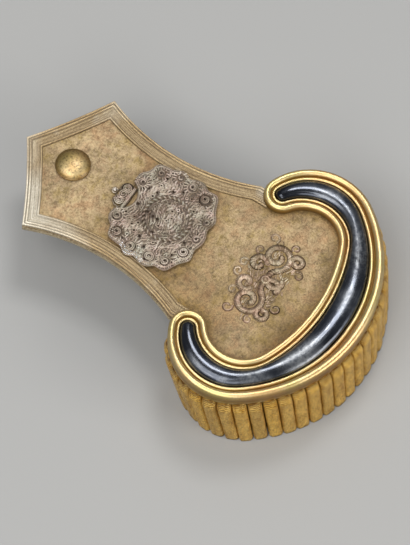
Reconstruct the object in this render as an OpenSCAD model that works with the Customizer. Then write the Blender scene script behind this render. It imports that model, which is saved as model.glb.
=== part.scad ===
// One dress epaulette, lying level on its fringe. Millimetres, +Z up, +Y towards the strap's tip.
// All outlines are drawn about the middle of the line between the crescent's two horns,
// and place() then moves them so that the origin is under the middle of the whole piece.

/* [Strap] */
// Length of the strap from the horns to its pointed tip
strap_l = 100; // [97:1:104]
// Half width of the strap at its two end corners
corner_x = 37; // [36:0.1:38]
// Length of the strap from the horns to its two end corners
corner_y = 77.5; // [76:0.1:79]
// Half width of the strap where it passes under the horns
root_x = 37.6; // [37:0.1:38]
// How far each long edge curves in
side_sag = 8.2; // [7:0.1:9]
// How far each end edge curves in
end_sag = 0.8; // [0.4:0.1:1.4]
// Thickness of the stiff board
board_t = 3; // [2.6:0.1:3.4]
// Thickness of the board's lower layer, which reaches the edge
board_lip = 1.6; // [1.2:0.1:2]
// How far the board's upper layer is set back from the edge
board_rebate = 0.8; // [0.4:0.1:1.2]
// Thickness of the gold cloth over the board
cloth_t = 1; // [0.8:0.1:1.2]
// Width of the lace border
lace_w = 7; // [6:0.1:8]
// Thickness of the lace border
lace_t = 1.2; // [1:0.1:1.4]

/* [Crescent] */
// Half width of the crescent over its outer edge
outer_x = 60.6; // [59:0.1:62]
// Distance from the horns to the crescent's outermost point
outer_y = 75.3; // [74:0.1:77]
// Radius of the outer edge at each side
outer_r = 29.2; // [28.5:0.1:30]
// Distance from the horns to the crescent's widest place
wide_y = 30; // [29:0.1:31]
// Half width of the open field inside the crescent
inner_x = 40.4; // [40:0.1:41]
// Distance from the horns to the field's outermost point
inner_y = 51; // [50:0.1:52]
// Radius of the field's two corners
inner_r = 15.8; // [15:0.1:16.5]
// Radius of each rounded horn
horn_r = 8.3; // [8.1:0.1:8.6]
// Width of the gilt rim outside the inlay, in the middle
rim_mid = 7.4; // [6.5:0.1:8]
// Width of the gilt rim outside the inlay, at the sides
rim_side = 6; // [5.5:0.1:6.5]
// Width of the gilt rim round the horns and inside the inlay
rim_horn = 5; // [4.6:0.1:5.4]
// Height of the gilt rim's walls
rim_h = 2.4; // [2:0.1:3]
// Depth of the gilt skirt that covers the fringe's head
skirt_h = 3; // [2:0.1:4]
// Height of the inlay's straight foot
inlay_foot = 1.8; // [1.4:0.1:2.2]
// Height of the inlay's rounded back above its foot
inlay_rise = 3.2; // [2.6:0.1:3.6]

/* [Fringe] */
// Drop of the fringe below the gilt skirt
fringe_drop = 34; // [30:1:38]
// Number of bullion bars
bar_count = 34; // [32:2:36]
// Radius of one bar
bar_r = 3.15; // [3:0.05:3.3]
// How far the bars stand outside the gilt rim
bar_proud = 2.2; // [1.8:0.1:2.6]
// Distance from the gilt edge in to the back of the fringe
fringe_back = 4.5; // [4:0.1:5]
// Height of the head that the bars hang from, drawn in under the gilt edge
fringe_head = 4; // [3:0.5:5]
// How far the bars lean outwards, away from the strap, over their drop
lean = 6; // [4:0.1:7]
// How far the foot of the fringe is drawn in
draw_in = 2.4; // [0:0.1:3]
// Where the fringe ends, as an angle round the side of the crescent
fringe_end = 64; // [60:1:66]

/* [Button] */
// Distance from the horns to the button
button_y = 75.2; // [72:0.1:76]
// Radius of the button
button_r = 8; // [7:0.1:8.5]
// Height of the button's dome
button_h = 3.8; // [3:0.1:4.5]
// Radius of the button's shank
shank_r = 1.5; // [1.2:0.1:1.8]
// Length of the shank below the strap
shank_l = 6; // [4:0.5:8]

/* [Ornament] */
// Distance from the horns to the badge's middle
badge_y = 27.5; // [27:0.1:28]
// Half width of the badge
badge_x = 24.5; // [23:0.1:25]
// Half height of the badge
badge_h = 21.5; // [20:0.1:22]
// Number of rosettes round the badge
rosette_count = 14; // [10:2:16]
// Radius of a rosette
rosette_r = 3; // [2.5:0.1:3.2]
// Distance from the horns to the crown's foot
crown_y = 44.5; // [44:0.1:45]
// Width of the crown
crown_w = 13; // [12:0.5:13.5]
// Distance from the horns to the middle of the scrolls in the crescent
scroll_y = -26; // [-28:0.5:-24]
// Radius of the scrolls' padded cord
scroll_r = 1.1; // [0.9:0.1:1.3]

/* [Hidden] */
$fn = 48;
gap = 0.05;
fit_gap = 0.15;
// Room between the board's edge and the fringe's back, which is flat from bar to bar
pad_gap = 0.45;
deck = fringe_drop + skirt_h;
cloth_z = deck - cloth_t;
board_z = cloth_z - gap - board_t;
face_z = deck + gap;
lace_top = face_z + lace_t;

// Points along a circle [x, y, r] from one angle to another
function arc(c, from, to, steps) =
  [for (i = [0:steps]) let (a = from + (to - from) * i / steps) [c[0] + c[2] * cos(a), c[1] + c[2] * sin(a)]];
function middle(c) = [c[0], c[1]];
function heading(p, q) = atan2(q[1] - p[1], q[0] - p[0]);
function grown(c, e) = [c[0], c[1], c[2] + e];
function mirrored(points) = [for (i = [len(points) - 1:-1:0]) [-points[i][0], points[i][1]]];
// The circle through two points that curves in to the left by a given sag
function sagged(p, q, sag) =
  let (c = norm(q - p), r = (c * c / 4 + sag * sag) / (2 * sag), u = (q - p) / c, m = (p + q) / 2)
  [m[0] + u[1] * (r - sag), m[1] - u[0] * (r - sag), r];
// The crossing of two circles that lies to the left of the line between their middles
function crossing(a, b) =
  let (d = middle(b) - middle(a), l = norm(d), u = d / l, x = (a[2] * a[2] - b[2] * b[2] + l * l) / (2 * l))
  middle(a) + u * x + [-u[1], u[0]] * sqrt(a[2] * a[2] - x * x);

// The strap: concave long edges, a pointed end with concave edges, drawn inset by e
root = [root_x, 0];
corner = [corner_x, corner_y];
tip = [0, strap_l];
side_circle = sagged(root, corner, side_sag);
end_circle = sagged(corner, tip, end_sag);
side_steps = 24;
end_steps = 10;
// How far the strap runs on under the crescent
tuck = 20;
function strap_corner(e) = crossing(grown(side_circle, e), grown(end_circle, e));
function strap_tip(e) = [0, end_circle[1] - sqrt(pow(end_circle[2] + e, 2) - pow(end_circle[0], 2))];
function strap_root(e) = [side_circle[0] - sqrt(pow(side_circle[2] + e, 2) - pow(side_circle[1], 2)), 0];
function bent(c, p, q, steps) =
  let (a = heading(middle(c), p), b = heading(middle(c), q), turn = (b - a + 540) % 360 - 180)
  arc([c[0], c[1], norm(p - middle(c))], a, a + turn, steps);
function strap_half(e) = concat([strap_root(e) - [0, tuck]],
  bent(side_circle, strap_root(e), strap_corner(e), side_steps),
  bent(end_circle, strap_corner(e), strap_tip(e), end_steps));
function strap_outline(e) = concat(strap_half(e), mirrored(strap_half(e)));

// Each edge of the crescent is a wide belly circle that runs smoothly into a smaller side circle
function lobe(half, low, side_r) =
  let (p = half - side_r, q = low - wide_y, r = (p * p + q * q - side_r * side_r) / (2 * (q - side_r)))
  [[0, r - low, r], [half - side_r, -wide_y, side_r]];
outer = lobe(outer_x, outer_y, outer_r);
inner = lobe(inner_x, inner_y, inner_r);
horn = crossing(grown(inner[1], horn_r), grown(outer[1], -horn_r));
horn_circle = [horn[0], horn[1], horn_r];
outer_join = heading(middle(outer[0]), middle(outer[1]));
inner_join = heading(middle(inner[0]), middle(inner[1]));
outer_end = heading(middle(outer[1]), horn);
inner_end = heading(middle(inner[1]), horn);

// The crescent's right half, from its outermost point round the horn to the field
// Columns: circle, first angle, last angle, +1 if the metal lies inside the circle, first rim, last rim
BAND = [
  [outer[0], -90, outer_join, 1, rim_mid, rim_side],
  [outer[1], outer_join, outer_end, 1, rim_side, rim_horn],
  [horn_circle, outer_end, inner_end + 180, 1, rim_horn, rim_horn],
  [inner[1], inner_end, inner_join, -1, rim_horn, rim_horn],
  [inner[0], inner_join, -90, -1, rim_horn, rim_horn]
];
band_steps = 12;
// Stations on it: x, y, inward direction x, y, rim
function station(row, t) =
  let (a = row[1] + (row[2] - row[1]) * t, c = row[0], turned = [cos(a), sin(a)])
  concat(middle(c) + c[2] * turned, -row[3] * turned, [row[4] + (row[5] - row[4]) * t]);
half_band = concat(
  [for (row = BAND) for (i = [0:band_steps - 1]) station(row, i / band_steps)],
  [station(BAND[4], 1)]);
function flipped(s) = [-s[0], s[1], -s[2], s[3], s[4]];
band = concat(half_band, [for (i = [len(half_band) - 2:-1:1]) flipped(half_band[i])]);
function inset(s, d) = [s[0] + s[2] * d, s[1] + s[3] * d];
function band_outline(d) = [for (s = band) inset(s, d)];

// The gilt rim's cross-section: wall, large bead, groove, small bead, for a rim of width w
function rim_profile(w) = concat([[0, 0]],
  [for (a = [180:-30:0]) [0.31 * w * (1 + cos(a)), rim_h + 0.31 * w * sin(a)]],
  [[0.67 * w, rim_h - 0.4]],
  [for (a = [150:-50:0]) [0.85 * w + 0.15 * w * cos(a), rim_h - 0.2 + 0.15 * w * sin(a)]],
  [[w, 0]]);

// Side faces of a tube of rings, each with count points, and the two end faces of an open tube
function wall_faces(rings, count, closed) =
  [for (i = [0:rings - (closed ? 1 : 2)]) for (j = [0:count - 1])
    let (here = i * count, next = (i + 1) % rings * count, m = (j + 1) % count)
    [here + j, next + j, next + m, here + m]];
function end_faces(rings, count) =
  [[for (j = [0:count - 1]) j], [for (j = [count - 1:-1:0]) (rings - 1) * count + j]];

// A point on the fringe's path, s along it from the axis and off outside the gilt edge
path_off = bar_proud - bar_r;
belly_l = (outer_join + 90) * PI / 180 * (outer[0][2] + path_off);
side_l = (fringe_end - outer_join) * PI / 180 * (outer_r + path_off);
pitch = 2 * (belly_l + side_l) / bar_count;
function path_angle(s) = s < belly_l ? -90 + s / (outer[0][2] + path_off) * 180 / PI
  : outer_join + (s - belly_l) / (outer_r + path_off) * 180 / PI;
function right_point(s, off) =
  let (c = s < belly_l ? outer[0] : outer[1], a = path_angle(s)) middle(c) + (c[2] + off) * [cos(a), sin(a)];
function path_point(s, off) =
  s < 0 ? [-right_point(-s, off)[0], right_point(-s, off)[1]] : right_point(s, off);
// One level of the fringe: the bars' round fronts, then the plain back, shifted outwards
bar_points = 7;
bar_arc = 78;
bar_tuck = 1.6;
function fringe_ring(z, less, in, shift) = concat(
  [for (k = [0:bar_count - 1]) for (j = [0:bar_points - 1])
    let (a = bar_arc * (2 * j / (bar_points - 1) - 1), s = (k + 0.5 - bar_count / 2) * pitch + bar_r * sin(a),
      p = path_point(s, path_off + bar_r * cos(a) - less - in))
    [p[0], p[1] - shift, z]],
  [for (k = [bar_count:-1:0])
    let (p = path_point((k - bar_count / 2) * pitch, -fringe_back - in)) [p[0], p[1] - shift, z]]);
// The flat end of the fringe, bar by bar, as triangles over one level's points
function front_index(k, j) = k * bar_points + j;
function back_index(k) = bar_count * bar_points + bar_count - k;
fringe_end_faces = concat(
  [for (k = [0:bar_count - 1]) for (j = [0:bar_points - 2])
    [back_index(k), front_index(k, j), front_index(k, j + 1)]],
  [for (k = [0:bar_count - 1]) [back_index(k), front_index(k, bar_points - 1), back_index(k + 1)]],
  [for (k = [0:bar_count - 2]) [front_index(k, bar_points - 1), front_index(k + 1, 0), back_index(k + 1)]]);
fringe_levels = [
  fringe_ring(0, 0, draw_in, lean),
  fringe_ring(fringe_drop - fringe_head, 0, 0, 0),
  fringe_ring(fringe_drop - gap, bar_tuck, 0, 0)
];
ring_count = len(fringe_levels[0]);
fringe_low = min([for (p = fringe_levels[0]) p[1]]);

// The whole piece is centred on the origin along Y
shift_y = -(strap_l + fringe_low) / 2;
module place() {
  translate([0, shift_y, 0]) children();
}

// The part of the board under the crescent, drawn inset by e
module pad_shape(e) {
  pad_end = 78;
  pad_steps = 20;
  right = concat(arc(grown(outer[0], -e), -90, outer_join, pad_steps),
    arc(grown(outer[1], -e), outer_join, pad_end, pad_steps));
  polygon(concat(right, mirrored(right)));
}

// The whole board, with the hole for the button's shank
module board_shape(e) {
  difference() {
    union() {
      polygon(strap_outline(e));
      pad_shape(fringe_back + pad_gap + e);
    }
    translate([0, button_y]) circle(r = shank_r + fit_gap);
  }
}

module strap_board() {
  color("darkkhaki") place() {
    translate([0, 0, board_z]) linear_extrude(board_lip) board_shape(0);
    translate([0, 0, board_z]) linear_extrude(board_t) board_shape(board_rebate);
  }
}

module strap_cloth() {
  color("burlywood") place() translate([0, 0, cloth_z]) linear_extrude(cloth_t) board_shape(0);
}

// The lace border stops short inside the crescent's horns
module edge_lace() {
  lace_end = 7.5;
  cut_x = root_x + lace_w;
  color("tan") place() translate([0, 0, face_z]) linear_extrude(lace_t) difference() {
    polygon(strap_outline(0));
    polygon(strap_outline(lace_w));
    translate([-cut_x, -tuck - lace_end]) square([2 * cut_x, tuck]);
    polygon(band_outline(-fit_gap));
  }
}

// The gilt rim, a closed loop round both horns, with a large and a small bead
module crescent_frame() {
  rings = [for (s = band) [for (q = rim_profile(s[4])) let (p = inset(s, q[0])) [p[0], p[1], face_z + q[1]]]];
  color("goldenrod") place() polyhedron(points = [for (r = rings) each r], convexity = 8,
    faces = wall_faces(len(rings), len(rings[0]), true));
}

// The gilt skirt under the rim's outer edge, which stands on the fringe's head outside the board
module crescent_skirt() {
  steps = 2 * band_steps;
  edge = concat([for (i = [steps:-1:1]) flipped(half_band[i])], [for (i = [0:steps]) half_band[i]]);
  color("gold") place() translate([0, 0, fringe_drop]) linear_extrude(skirt_h)
    polygon(concat([for (s = edge) inset(s, gap)],
      [for (i = [len(edge) - 1:-1:0]) inset(edge[i], fringe_back - fit_gap)]));
}

// The inlay's sections run from one horn to the other, each across from the outer rim to the inner one
module crescent_inlay() {
  last = len(half_band) - 1;
  ends = last / 2 - 1;
  across = 8;
  function side(i) = i < 0 ? flipped(half_band[-i]) : half_band[i];
  function facing(i) = i < 0 ? flipped(half_band[last + i]) : half_band[last - i];
  sections = [for (i = [-ends:ends])
    let (p = inset(side(i), side(i)[4] + fit_gap), q = inset(facing(i), facing(i)[4] + fit_gap),
      rise = min(inlay_rise, 0.45 * norm(q - p)))
    concat([[p[0], p[1], face_z]],
      [for (j = [0:across]) let (t = (1 - cos(180 * j / across)) / 2, m = p + (q - p) * t)
        [m[0], m[1], face_z + inlay_foot + rise * sin(180 * j / across)]],
      [[q[0], q[1], face_z]])];
  count = len(sections[0]);
  color("darkslategray") place() polyhedron(points = [for (r = sections) each r], convexity = 8,
    faces = concat(wall_faces(len(sections), count, false), end_faces(len(sections), count)));
}

module fringe() {
  top = (len(fringe_levels) - 1) * ring_count;
  color("darkgoldenrod") place() polyhedron(points = [for (r = fringe_levels) each r], convexity = 8,
    faces = concat(wall_faces(len(fringe_levels), ring_count, false), fringe_end_faces,
      [for (f = fringe_end_faces) [f[2] + top, f[1] + top, f[0] + top]]));
}

// A low dome with a rounded edge, turned about its own middle
module dome(r, h) {
  rotate_extrude() polygon(concat([[0, 0]], [for (a = [0:15:90]) [r * cos(a), h * sin(a)]]));
}

// The button: a foot, a dome and a shank, whose neck inside the strap is thinner
module button() {
  foot = 0.8;
  neck_r = shank_r - 0.4;
  color("gold") place() translate([0, button_y, 0]) {
    translate([0, 0, face_z]) cylinder(r = button_r, h = foot);
    translate([0, 0, face_z + foot]) dome(button_r - 0.5, button_h - foot);
    translate([0, 0, board_z - shank_l]) cylinder(r = shank_r, h = shank_l);
    translate([0, 0, board_z - gap]) cylinder(r = neck_r, h = face_z + foot - board_z);
  }
}

// The badge: a padded core, a plate with a scalloped edge and a notch for the crown, and raised work on it
function badge_edge(a, scale) =
  let (k = scale * pow(pow(abs(cos(a)), 3) + pow(abs(sin(a)), 3), -1 / 3))
  [badge_x * k * cos(a), badge_h * k * sin(a)];
module badge() {
  core_scale = 0.83;
  core_points = 48;
  plate_t = 1;
  edge_points = 8 * rosette_count;
  scallop = 0.03;
  rosette_scale = 0.84;
  rosette_h = 1.2;
  disc_y = -2;
  disc_r = 12;
  disc_h = 0.5;
  ring_r = 10.5;
  ring_cord = 1.2;
  boss_r = 7.5;
  boss_h = 2;
  notch_r = 8.4;
  notch_y = crown_y + 6 - badge_y;
  plate_z = lace_top + gap;
  color("gray") place() translate([0, badge_y, 0]) difference() {
    union() {
      translate([0, 0, face_z]) linear_extrude(plate_z - face_z)
        polygon([for (i = [0:core_points - 1]) badge_edge(360 * i / core_points, core_scale)]);
      translate([0, 0, plate_z]) linear_extrude(plate_t)
        polygon([for (i = [0:edge_points - 1]) let (a = 360 * i / edge_points)
          badge_edge(a, 1 - scallop * (1 + cos(rosette_count * a)))]);
      for (i = [0:rosette_count - 1])
        translate(concat(badge_edge(360 * (i + 0.5) / rosette_count, rosette_scale), [plate_z + plate_t]))
          dome(rosette_r, rosette_h);
      translate([0, disc_y, plate_z + plate_t]) {
        cylinder(r = disc_r, h = disc_h);
        translate([0, 0, disc_h]) {
          dome(boss_r, boss_h);
          rotate_extrude() translate([ring_r, 0]) intersection() {
            circle(r = ring_cord);
            translate([-ring_cord, 0]) square([2 * ring_cord, ring_cord]);
          }
        }
      }
    }
    translate([0, notch_y, face_z - gap]) cylinder(r = notch_r, h = 2 * badge_h);
  }
}

// The crown: a band, three rounded arches side by side and a ball on top
module badge_crown() {
  band_h = 2.4;
  raised = 1.6;
  arch_r = crown_w / 4;
  arch_y = band_h + 1.6;
  side_r = arch_r - 0.4;
  ball_y = band_h + 6;
  ball_r = 1.5;
  color("dimgray") place() translate([0, crown_y, face_z]) {
    translate([1 - crown_w / 2, 0, 0]) cube([crown_w - 2, band_h, raised]);
    translate([0, arch_y, 0]) dome(arch_r, raised + 0.6);
    for (x = [-arch_r, arch_r]) translate([x, arch_y, 0]) dome(side_r, raised + 0.6);
    translate([0, ball_y, 0]) dome(ball_r, raised);
  }
}

// Half of the scroll pattern, as spirals
// Columns: middle x, middle y, first radius, last radius, first angle, last angle
SCROLLS = [
  [12.2, 1.6, 6.8, 2, -150, 290],
  [1.9, -4.4, 5.1, 2.4, 30, 290],
  [5.4, 6.9, 3.9, 1.6, -60, 250],
  [14.6, -7.4, 3, 1.5, 120, -200]
];
// A flat band along one spiral, with a round knob on each end
module scroll_band(c) {
  steps = 30;
  knob_r = scroll_r + 0.4;
  function on_spiral(i, off) =
    let (t = i / steps, a = c[4] + (c[5] - c[4]) * t, r = c[2] + (c[3] - c[2]) * t + off)
    [c[0] + r * cos(a), c[1] + r * sin(a)];
  polygon(concat([for (i = [0:steps]) on_spiral(i, scroll_r)],
    [for (i = [steps:-1:0]) on_spiral(i, -scroll_r)]));
  for (i = [0, steps]) translate(on_spiral(i, 0)) circle(r = knob_r);
}
module scroll_ornament() {
  raised = 1.4;
  boss_r = 2.6;
  boss_h = 1.8;
  color("slategray") place() translate([0, scroll_y, face_z]) {
    linear_extrude(raised) {
      for (c = SCROLLS) scroll_band(c);
      mirror([1, 0]) for (c = SCROLLS) scroll_band(c);
    }
    dome(boss_r, boss_h);
  }
}

// The plain tongue under the strap, which slides through a loop on the shoulder
module fastening_tongue() {
  tongue_y = 8;
  tongue_w = 12;
  tongue_l = 46;
  tongue_t = 1.2;
  tongue_gap = 3;
  foot_l = 10;
  low = board_z - gap - tongue_gap - tongue_t;
  color("peru") place() translate([0, tongue_y, low]) {
    translate([-tongue_w / 2, 0, 0]) cube([tongue_w, tongue_l, tongue_t]);
    translate([-tongue_w / 2, 0, 0]) cube([tongue_w, foot_l, tongue_gap + tongue_t]);
    translate([0, tongue_l, 0]) cylinder(r = tongue_w / 2, h = tongue_t);
  }
}

strap_board();
strap_cloth();
edge_lace();
crescent_frame();
crescent_skirt();
crescent_inlay();
fringe();
button();
badge();
badge_crown();
scroll_ornament();
fastening_tongue();
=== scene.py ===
import math
import random

import bpy
from mathutils import Matrix, Vector
from mathutils.geometry import delaunay_2d_cdt


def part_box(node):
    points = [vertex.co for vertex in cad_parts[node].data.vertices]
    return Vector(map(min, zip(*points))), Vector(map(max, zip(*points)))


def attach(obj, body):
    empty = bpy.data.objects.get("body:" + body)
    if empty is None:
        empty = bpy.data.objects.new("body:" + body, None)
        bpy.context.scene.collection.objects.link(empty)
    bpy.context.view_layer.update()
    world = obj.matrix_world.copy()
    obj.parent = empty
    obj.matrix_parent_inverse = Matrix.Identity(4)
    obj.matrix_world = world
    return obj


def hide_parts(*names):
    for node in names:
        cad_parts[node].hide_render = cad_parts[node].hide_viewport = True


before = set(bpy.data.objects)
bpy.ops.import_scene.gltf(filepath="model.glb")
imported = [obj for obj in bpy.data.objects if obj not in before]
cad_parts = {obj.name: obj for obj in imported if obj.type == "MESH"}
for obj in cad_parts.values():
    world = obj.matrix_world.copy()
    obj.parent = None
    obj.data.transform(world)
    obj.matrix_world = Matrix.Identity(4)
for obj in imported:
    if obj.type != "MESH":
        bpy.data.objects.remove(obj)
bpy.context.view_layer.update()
mm = 0.001
fullTurn = 2 * math.pi
print("frame loaded")

# the drawing of the epaulette, in millimetres, from the middle of the line between the two horns
plan = {
    "deck": 37.0,
    "strapLength": 100.0,
    "corner": (37.0, 77.5),
    "rootX": 37.6,
    "sideSag": 8.2,
    "endSag": 0.8,
    # the crescent's two outlines: half width, depth, radius at the side
    "outer": (60.6, 75.3, 29.2),
    "inner": (40.4, 51.0, 15.8),
    "wideY": 30.0,
    "hornRadius": 8.3,
    "rimMiddle": 7.4,
    "rimSide": 6.0,
    "rimHorn": 5.0,
}
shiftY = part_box("strap_board")[1][1] / mm - plan["strapLength"]


def place(x, y, z=0.0):
    return Vector((x * mm, (y + shiftY) * mm, (z + plan["deck"]) * mm))


def polar(r, a, x=0.0, y=0.0):
    return x + r * math.cos(a), y + r * math.sin(a)


def angles(count):
    return [fullTurn * i / count for i in range(count)]


def nearest(x, y, spots):
    return min((math.hypot(x - px, y - py) for px, py in spots), default=math.inf)


def newObject(name, data):
    made = bpy.data.objects.new(name, data)
    bpy.context.scene.collection.objects.link(made)
    return made


def aimed(position, aim, up):
    back = (Vector(position) - Vector(aim)).normalized()
    right = Vector(up).cross(back).normalized()
    turn = Matrix((right, back.cross(right), back)).transposed().to_4x4()
    turn.translation = Vector(position)
    return turn


# camera at the photograph's place, turned to the epaulette's middle
cameraPlan = {
    "position": (-0.5676, -0.3098, 1.4038),
    "aim": (-0.0085, -0.0098, 0.030),
    "up": (0.7553, 0.5051, 0.4177),
    "lens": 301.7,
    "sensorWidth": 36,
    "clipStart": 0.01,
}
camera = newObject("camera", bpy.data.cameras.new("camera"))
camera.data.sensor_fit = "HORIZONTAL"
camera.data.sensor_width = cameraPlan["sensorWidth"]
camera.data.lens = cameraPlan["lens"]
camera.data.clip_start = cameraPlan["clipStart"]
camera.matrix_world = aimed(cameraPlan["position"], cameraPlan["aim"], cameraPlan["up"])
bpy.context.scene.camera = camera


def isSocket(value):
    return isinstance(value, bpy.types.NodeSocket)


def treeOf(values):
    return next(v.id_data for v in values if isSocket(v))


def wire(socket, value):
    if isSocket(value):
        socket.id_data.links.new(value, socket)
    else:
        socket.default_value = value


def put(tree, kind, inputs=None, output=0, **props):
    # adds a node with its properties and inputs, and gives one of its outputs
    node = tree.nodes.new(kind)
    for key, value in props.items():
        setattr(node, key, value)
    for key, value in (inputs or {}).items():
        wire(node.inputs[key], value)
    return node.outputs[output]


def calc(operation, *values, clamp=False):
    inputs = dict(enumerate(values))
    return put(treeOf(values), "ShaderNodeMath", inputs, operation=operation, use_clamp=clamp)


def plus(a, b):
    return calc("ADD", a, b)


def minus(a, b, clamp=False):
    return calc("SUBTRACT", a, b, clamp=clamp)


def times(a, b, clamp=False):
    return calc("MULTIPLY", a, b, clamp=clamp)


def fitted(a, scale, offset):
    return calc("MULTIPLY_ADD", a, scale, offset)


def wave(a):
    return fitted(calc("SINE", a), 0.5, 0.5)


def swayed(level, value, amount, clamp=False):
    # moves a level up and down as a noise does
    return calc("MULTIPLY_ADD", minus(value, 0.5), amount, level, clamp=clamp)


def weighted(*pairs):
    # the sum of values, each times its weight
    *rest, (value, weight) = pairs
    total = times(value, weight)
    for value, weight in reversed(rest):
        total = plus(times(value, weight), total)
    return total


def weaveOf(a, b, turns):
    # threads that cross in two directions
    warp, weft = (calc("SINE", times(way, turns)) for way in (a, b))
    return fitted(times(warp, weft), 0.5, 0.5)


def vectorCalc(operation, *values, scale=None):
    inputs = dict(enumerate(values))
    if scale is not None:
        inputs["Scale"] = scale
    output = "Value" if operation in ("LENGTH", "DISTANCE") else "Vector"
    return put(treeOf(values), "ShaderNodeVectorMath", inputs, output, operation=operation)


def split(vector):
    return put(vector.id_data, "ShaderNodeSeparateXYZ", {"Vector": vector}).node.outputs


def joined(x, y, z):
    return put(treeOf((x, y, z)), "ShaderNodeCombineXYZ", {"X": x, "Y": y, "Z": z})


def noise(coords, scale, detail=3.0, roughness=0.6, output="Fac"):
    inputs = {"Vector": coords, "Scale": scale, "Detail": detail, "Roughness": roughness}
    return put(coords.id_data, "ShaderNodeTexNoise", inputs, output)


def shade(colour):
    # one number is a grey, three are sRGB from 0 to 255
    if isSocket(colour):
        return colour
    if isinstance(colour, (int, float)):
        return (colour, colour, colour, 1.0)
    return tuple(((v / 255 + 0.055) / 1.055) ** 2.4 if v > 10 else v / 255 / 12.92 for v in colour) + (1.0,)


def ramp(value, *stops):
    colour = put(value.id_data, "ShaderNodeValToRGB", {0: value})
    elements = colour.node.color_ramp.elements
    while len(elements) < len(stops):
        elements.new(0.5)
    for element, (position, stop) in zip(elements, stops):
        element.position = position
        element.color = shade(stop)
    return colour


def mixColour(factor, a, b, blend="MIX"):
    inputs = {0: factor, 6: shade(a), 7: shade(b)}
    return put(treeOf((factor, a, b)), "ShaderNodeMix", inputs, 2, data_type="RGBA", blend_type=blend)


def dyed(colour, dye):
    return mixColour(1.0, colour, dye, "MULTIPLY")


def hued(colour, coords, scale, low, high, spread=0.16, detail=3.0, roughness=0.6):
    # drifts slowly between two faint dyes
    drift = noise(coords, scale, detail, roughness)
    return dyed(colour, ramp(drift, (0.5 - spread, low), (0.5, 1.0), (0.5 + spread, high)))


def moved(coords, x, y):
    return vectorCalc("ADD", coords, (x, y, 0.0))


def bump(height, strength, distance, normal=None):
    inputs = {"Strength": strength, "Distance": distance, "Height": height}
    if normal is not None:
        inputs["Normal"] = normal
    return put(height.id_data, "ShaderNodeBump", inputs)


def attribute(tree, name, output="Fac"):
    return put(tree, "ShaderNodeAttribute", None, output, attribute_name=name)


def startMaterial(name):
    material = bpy.data.materials.new(name)
    material.use_nodes = True
    tree = material.node_tree
    return material, tree, put(tree, "ShaderNodeTexCoord", None, "Object")


def dressed(material, settings):
    shader = material.node_tree.nodes["Principled BSDF"]
    for key, value in settings.items():
        wire(shader.inputs[key], value)
    return material


clothPlan = {
    "threadPitch": 0.00062,
    "diagonal": 0.7071,
    "pale": (204, 181, 141),
    "middle": (157, 134, 98),
    "dark": (86, 67, 40),
    "olive": (228, 224, 190),
    "pink": (250, 236, 230),
    # tint for the painted shade and the darker patches
    "dirty": (194, 178, 136),
}


def makeCloth():
    # metal-thread cloth: crossed threads, mottled by wear, and darker by an attribute that paints shade
    # against the rim, the lace and the embroidery and adds darker patches
    material, tree, coords = startMaterial("wornGoldCloth")
    wobble = noise(coords, 900.0, 2.0, 0.5)
    x, y, _ = split(coords)
    x, y = plus(x, times(wobble, 0.0006)), plus(y, times(wobble, -0.0006))
    weave = weaveOf(plus(x, y), minus(x, y), fullTurn / clothPlan["threadPitch"] * clothPlan["diagonal"])
    grain = noise(coords, 1100.0, roughness=0.75)
    blotch = noise(coords, 330.0, 4.0, 0.65)
    broad = noise(coords, 62.0, 4.0)
    speck = weighted((weave, 0.22), (grain, 0.46), (blotch, 0.32))
    colour = ramp(speck, (0.35, clothPlan["dark"]), (0.47, clothPlan["middle"]), (0.60, clothPlan["pale"]))
    colour = dyed(colour, ramp(broad, (0.32, 0.74), (0.62, 1.10)))
    shifted = moved(coords, 0.31, 0.17)
    colour = hued(colour, shifted, 150.0, clothPlan["olive"], clothPlan["pink"], detail=4.0, roughness=0.65)
    # painted shade and darker patches from the point attribute, broken up by the blotches
    dirt = times(attribute(tree, "dirt"), fitted(blotch, 0.9, 0.5), clamp=True)
    return dressed(material, {
        "Base Color": mixColour(dirt, colour, dyed(colour, clothPlan["dirty"])),
        "Metallic": 0.25,
        "Roughness": fitted(grain, 0.3, 0.42),
        "Normal": bump(broad, 0.3, 0.0015, bump(speck, 0.7, 0.0005)),
    })


laceLook = {
    "threadPitch": 0.0007,
    "gold": [(0.34, (84, 64, 40)), (0.48, (138, 115, 80)), (0.62, (188, 166, 126))],
    "silver": [(0.34, (142, 132, 112)), (0.48, (192, 183, 164)), (0.62, (228, 223, 208))],
    # a slanting line across the strap, in metres, beyond which the gilding has gone
    "slant": (-0.9, 0.6),
    "bareFrom": 0.062,
}


def makeLace():
    # ribbed lace: u runs along it, v across it, in metres; silver shows through near the strap's far end
    material, tree, coords = startMaterial("ribbedMetalLace")
    threadPitch = laceLook["threadPitch"]
    uv = put(tree, "ShaderNodeUVMap", uv_map="UVMap")
    u, v, _ = split(uv)
    x, y, _ = split(coords)
    grain = noise(coords, 1300.0, roughness=0.7)
    broad = noise(coords, 48.0)
    streaks = noise(vectorCalc("MULTIPLY", uv, (46.0, 1700.0, 1.0)), 1.0)
    threads = wave(times(plus(u, calc("PINGPONG", v, threadPitch)), fullTurn / threadPitch))
    speck = weighted((threads, 0.15), (grain, 0.33), (streaks, 0.52))
    gold, silver = (ramp(speck, *laceLook[metal]) for metal in ("gold", "silver"))
    far = weighted(*zip((x, y), laceLook["slant"]))
    bare = times(minus(fitted(broad, 0.03, far), laceLook["bareFrom"]), 55.0, clamp=True)
    bare = calc("MAXIMUM", bare, ramp(broad, (0.54, 0), (0.70, 0.6)))
    # painted highlight on the ridges and painted shade in the grooves, from the profile's third column
    edge = ramp(attribute(tree, "rib"), (0.0, 0.28), (0.45, 0.90), (1.0, 1.38))
    return dressed(material, {
        "Base Color": dyed(mixColour(times(bare, 0.85), gold, silver), edge),
        "Metallic": 0.30,
        "Roughness": 0.46,
        "Normal": bump(speck, 0.6, 0.0004),
    })


boardLook = {
    "threadPitch": 0.0008,
    "linen": [(0.34, (110, 92, 66)), (0.50, (168, 152, 122)), (0.66, (196, 184, 156))],
}


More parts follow.
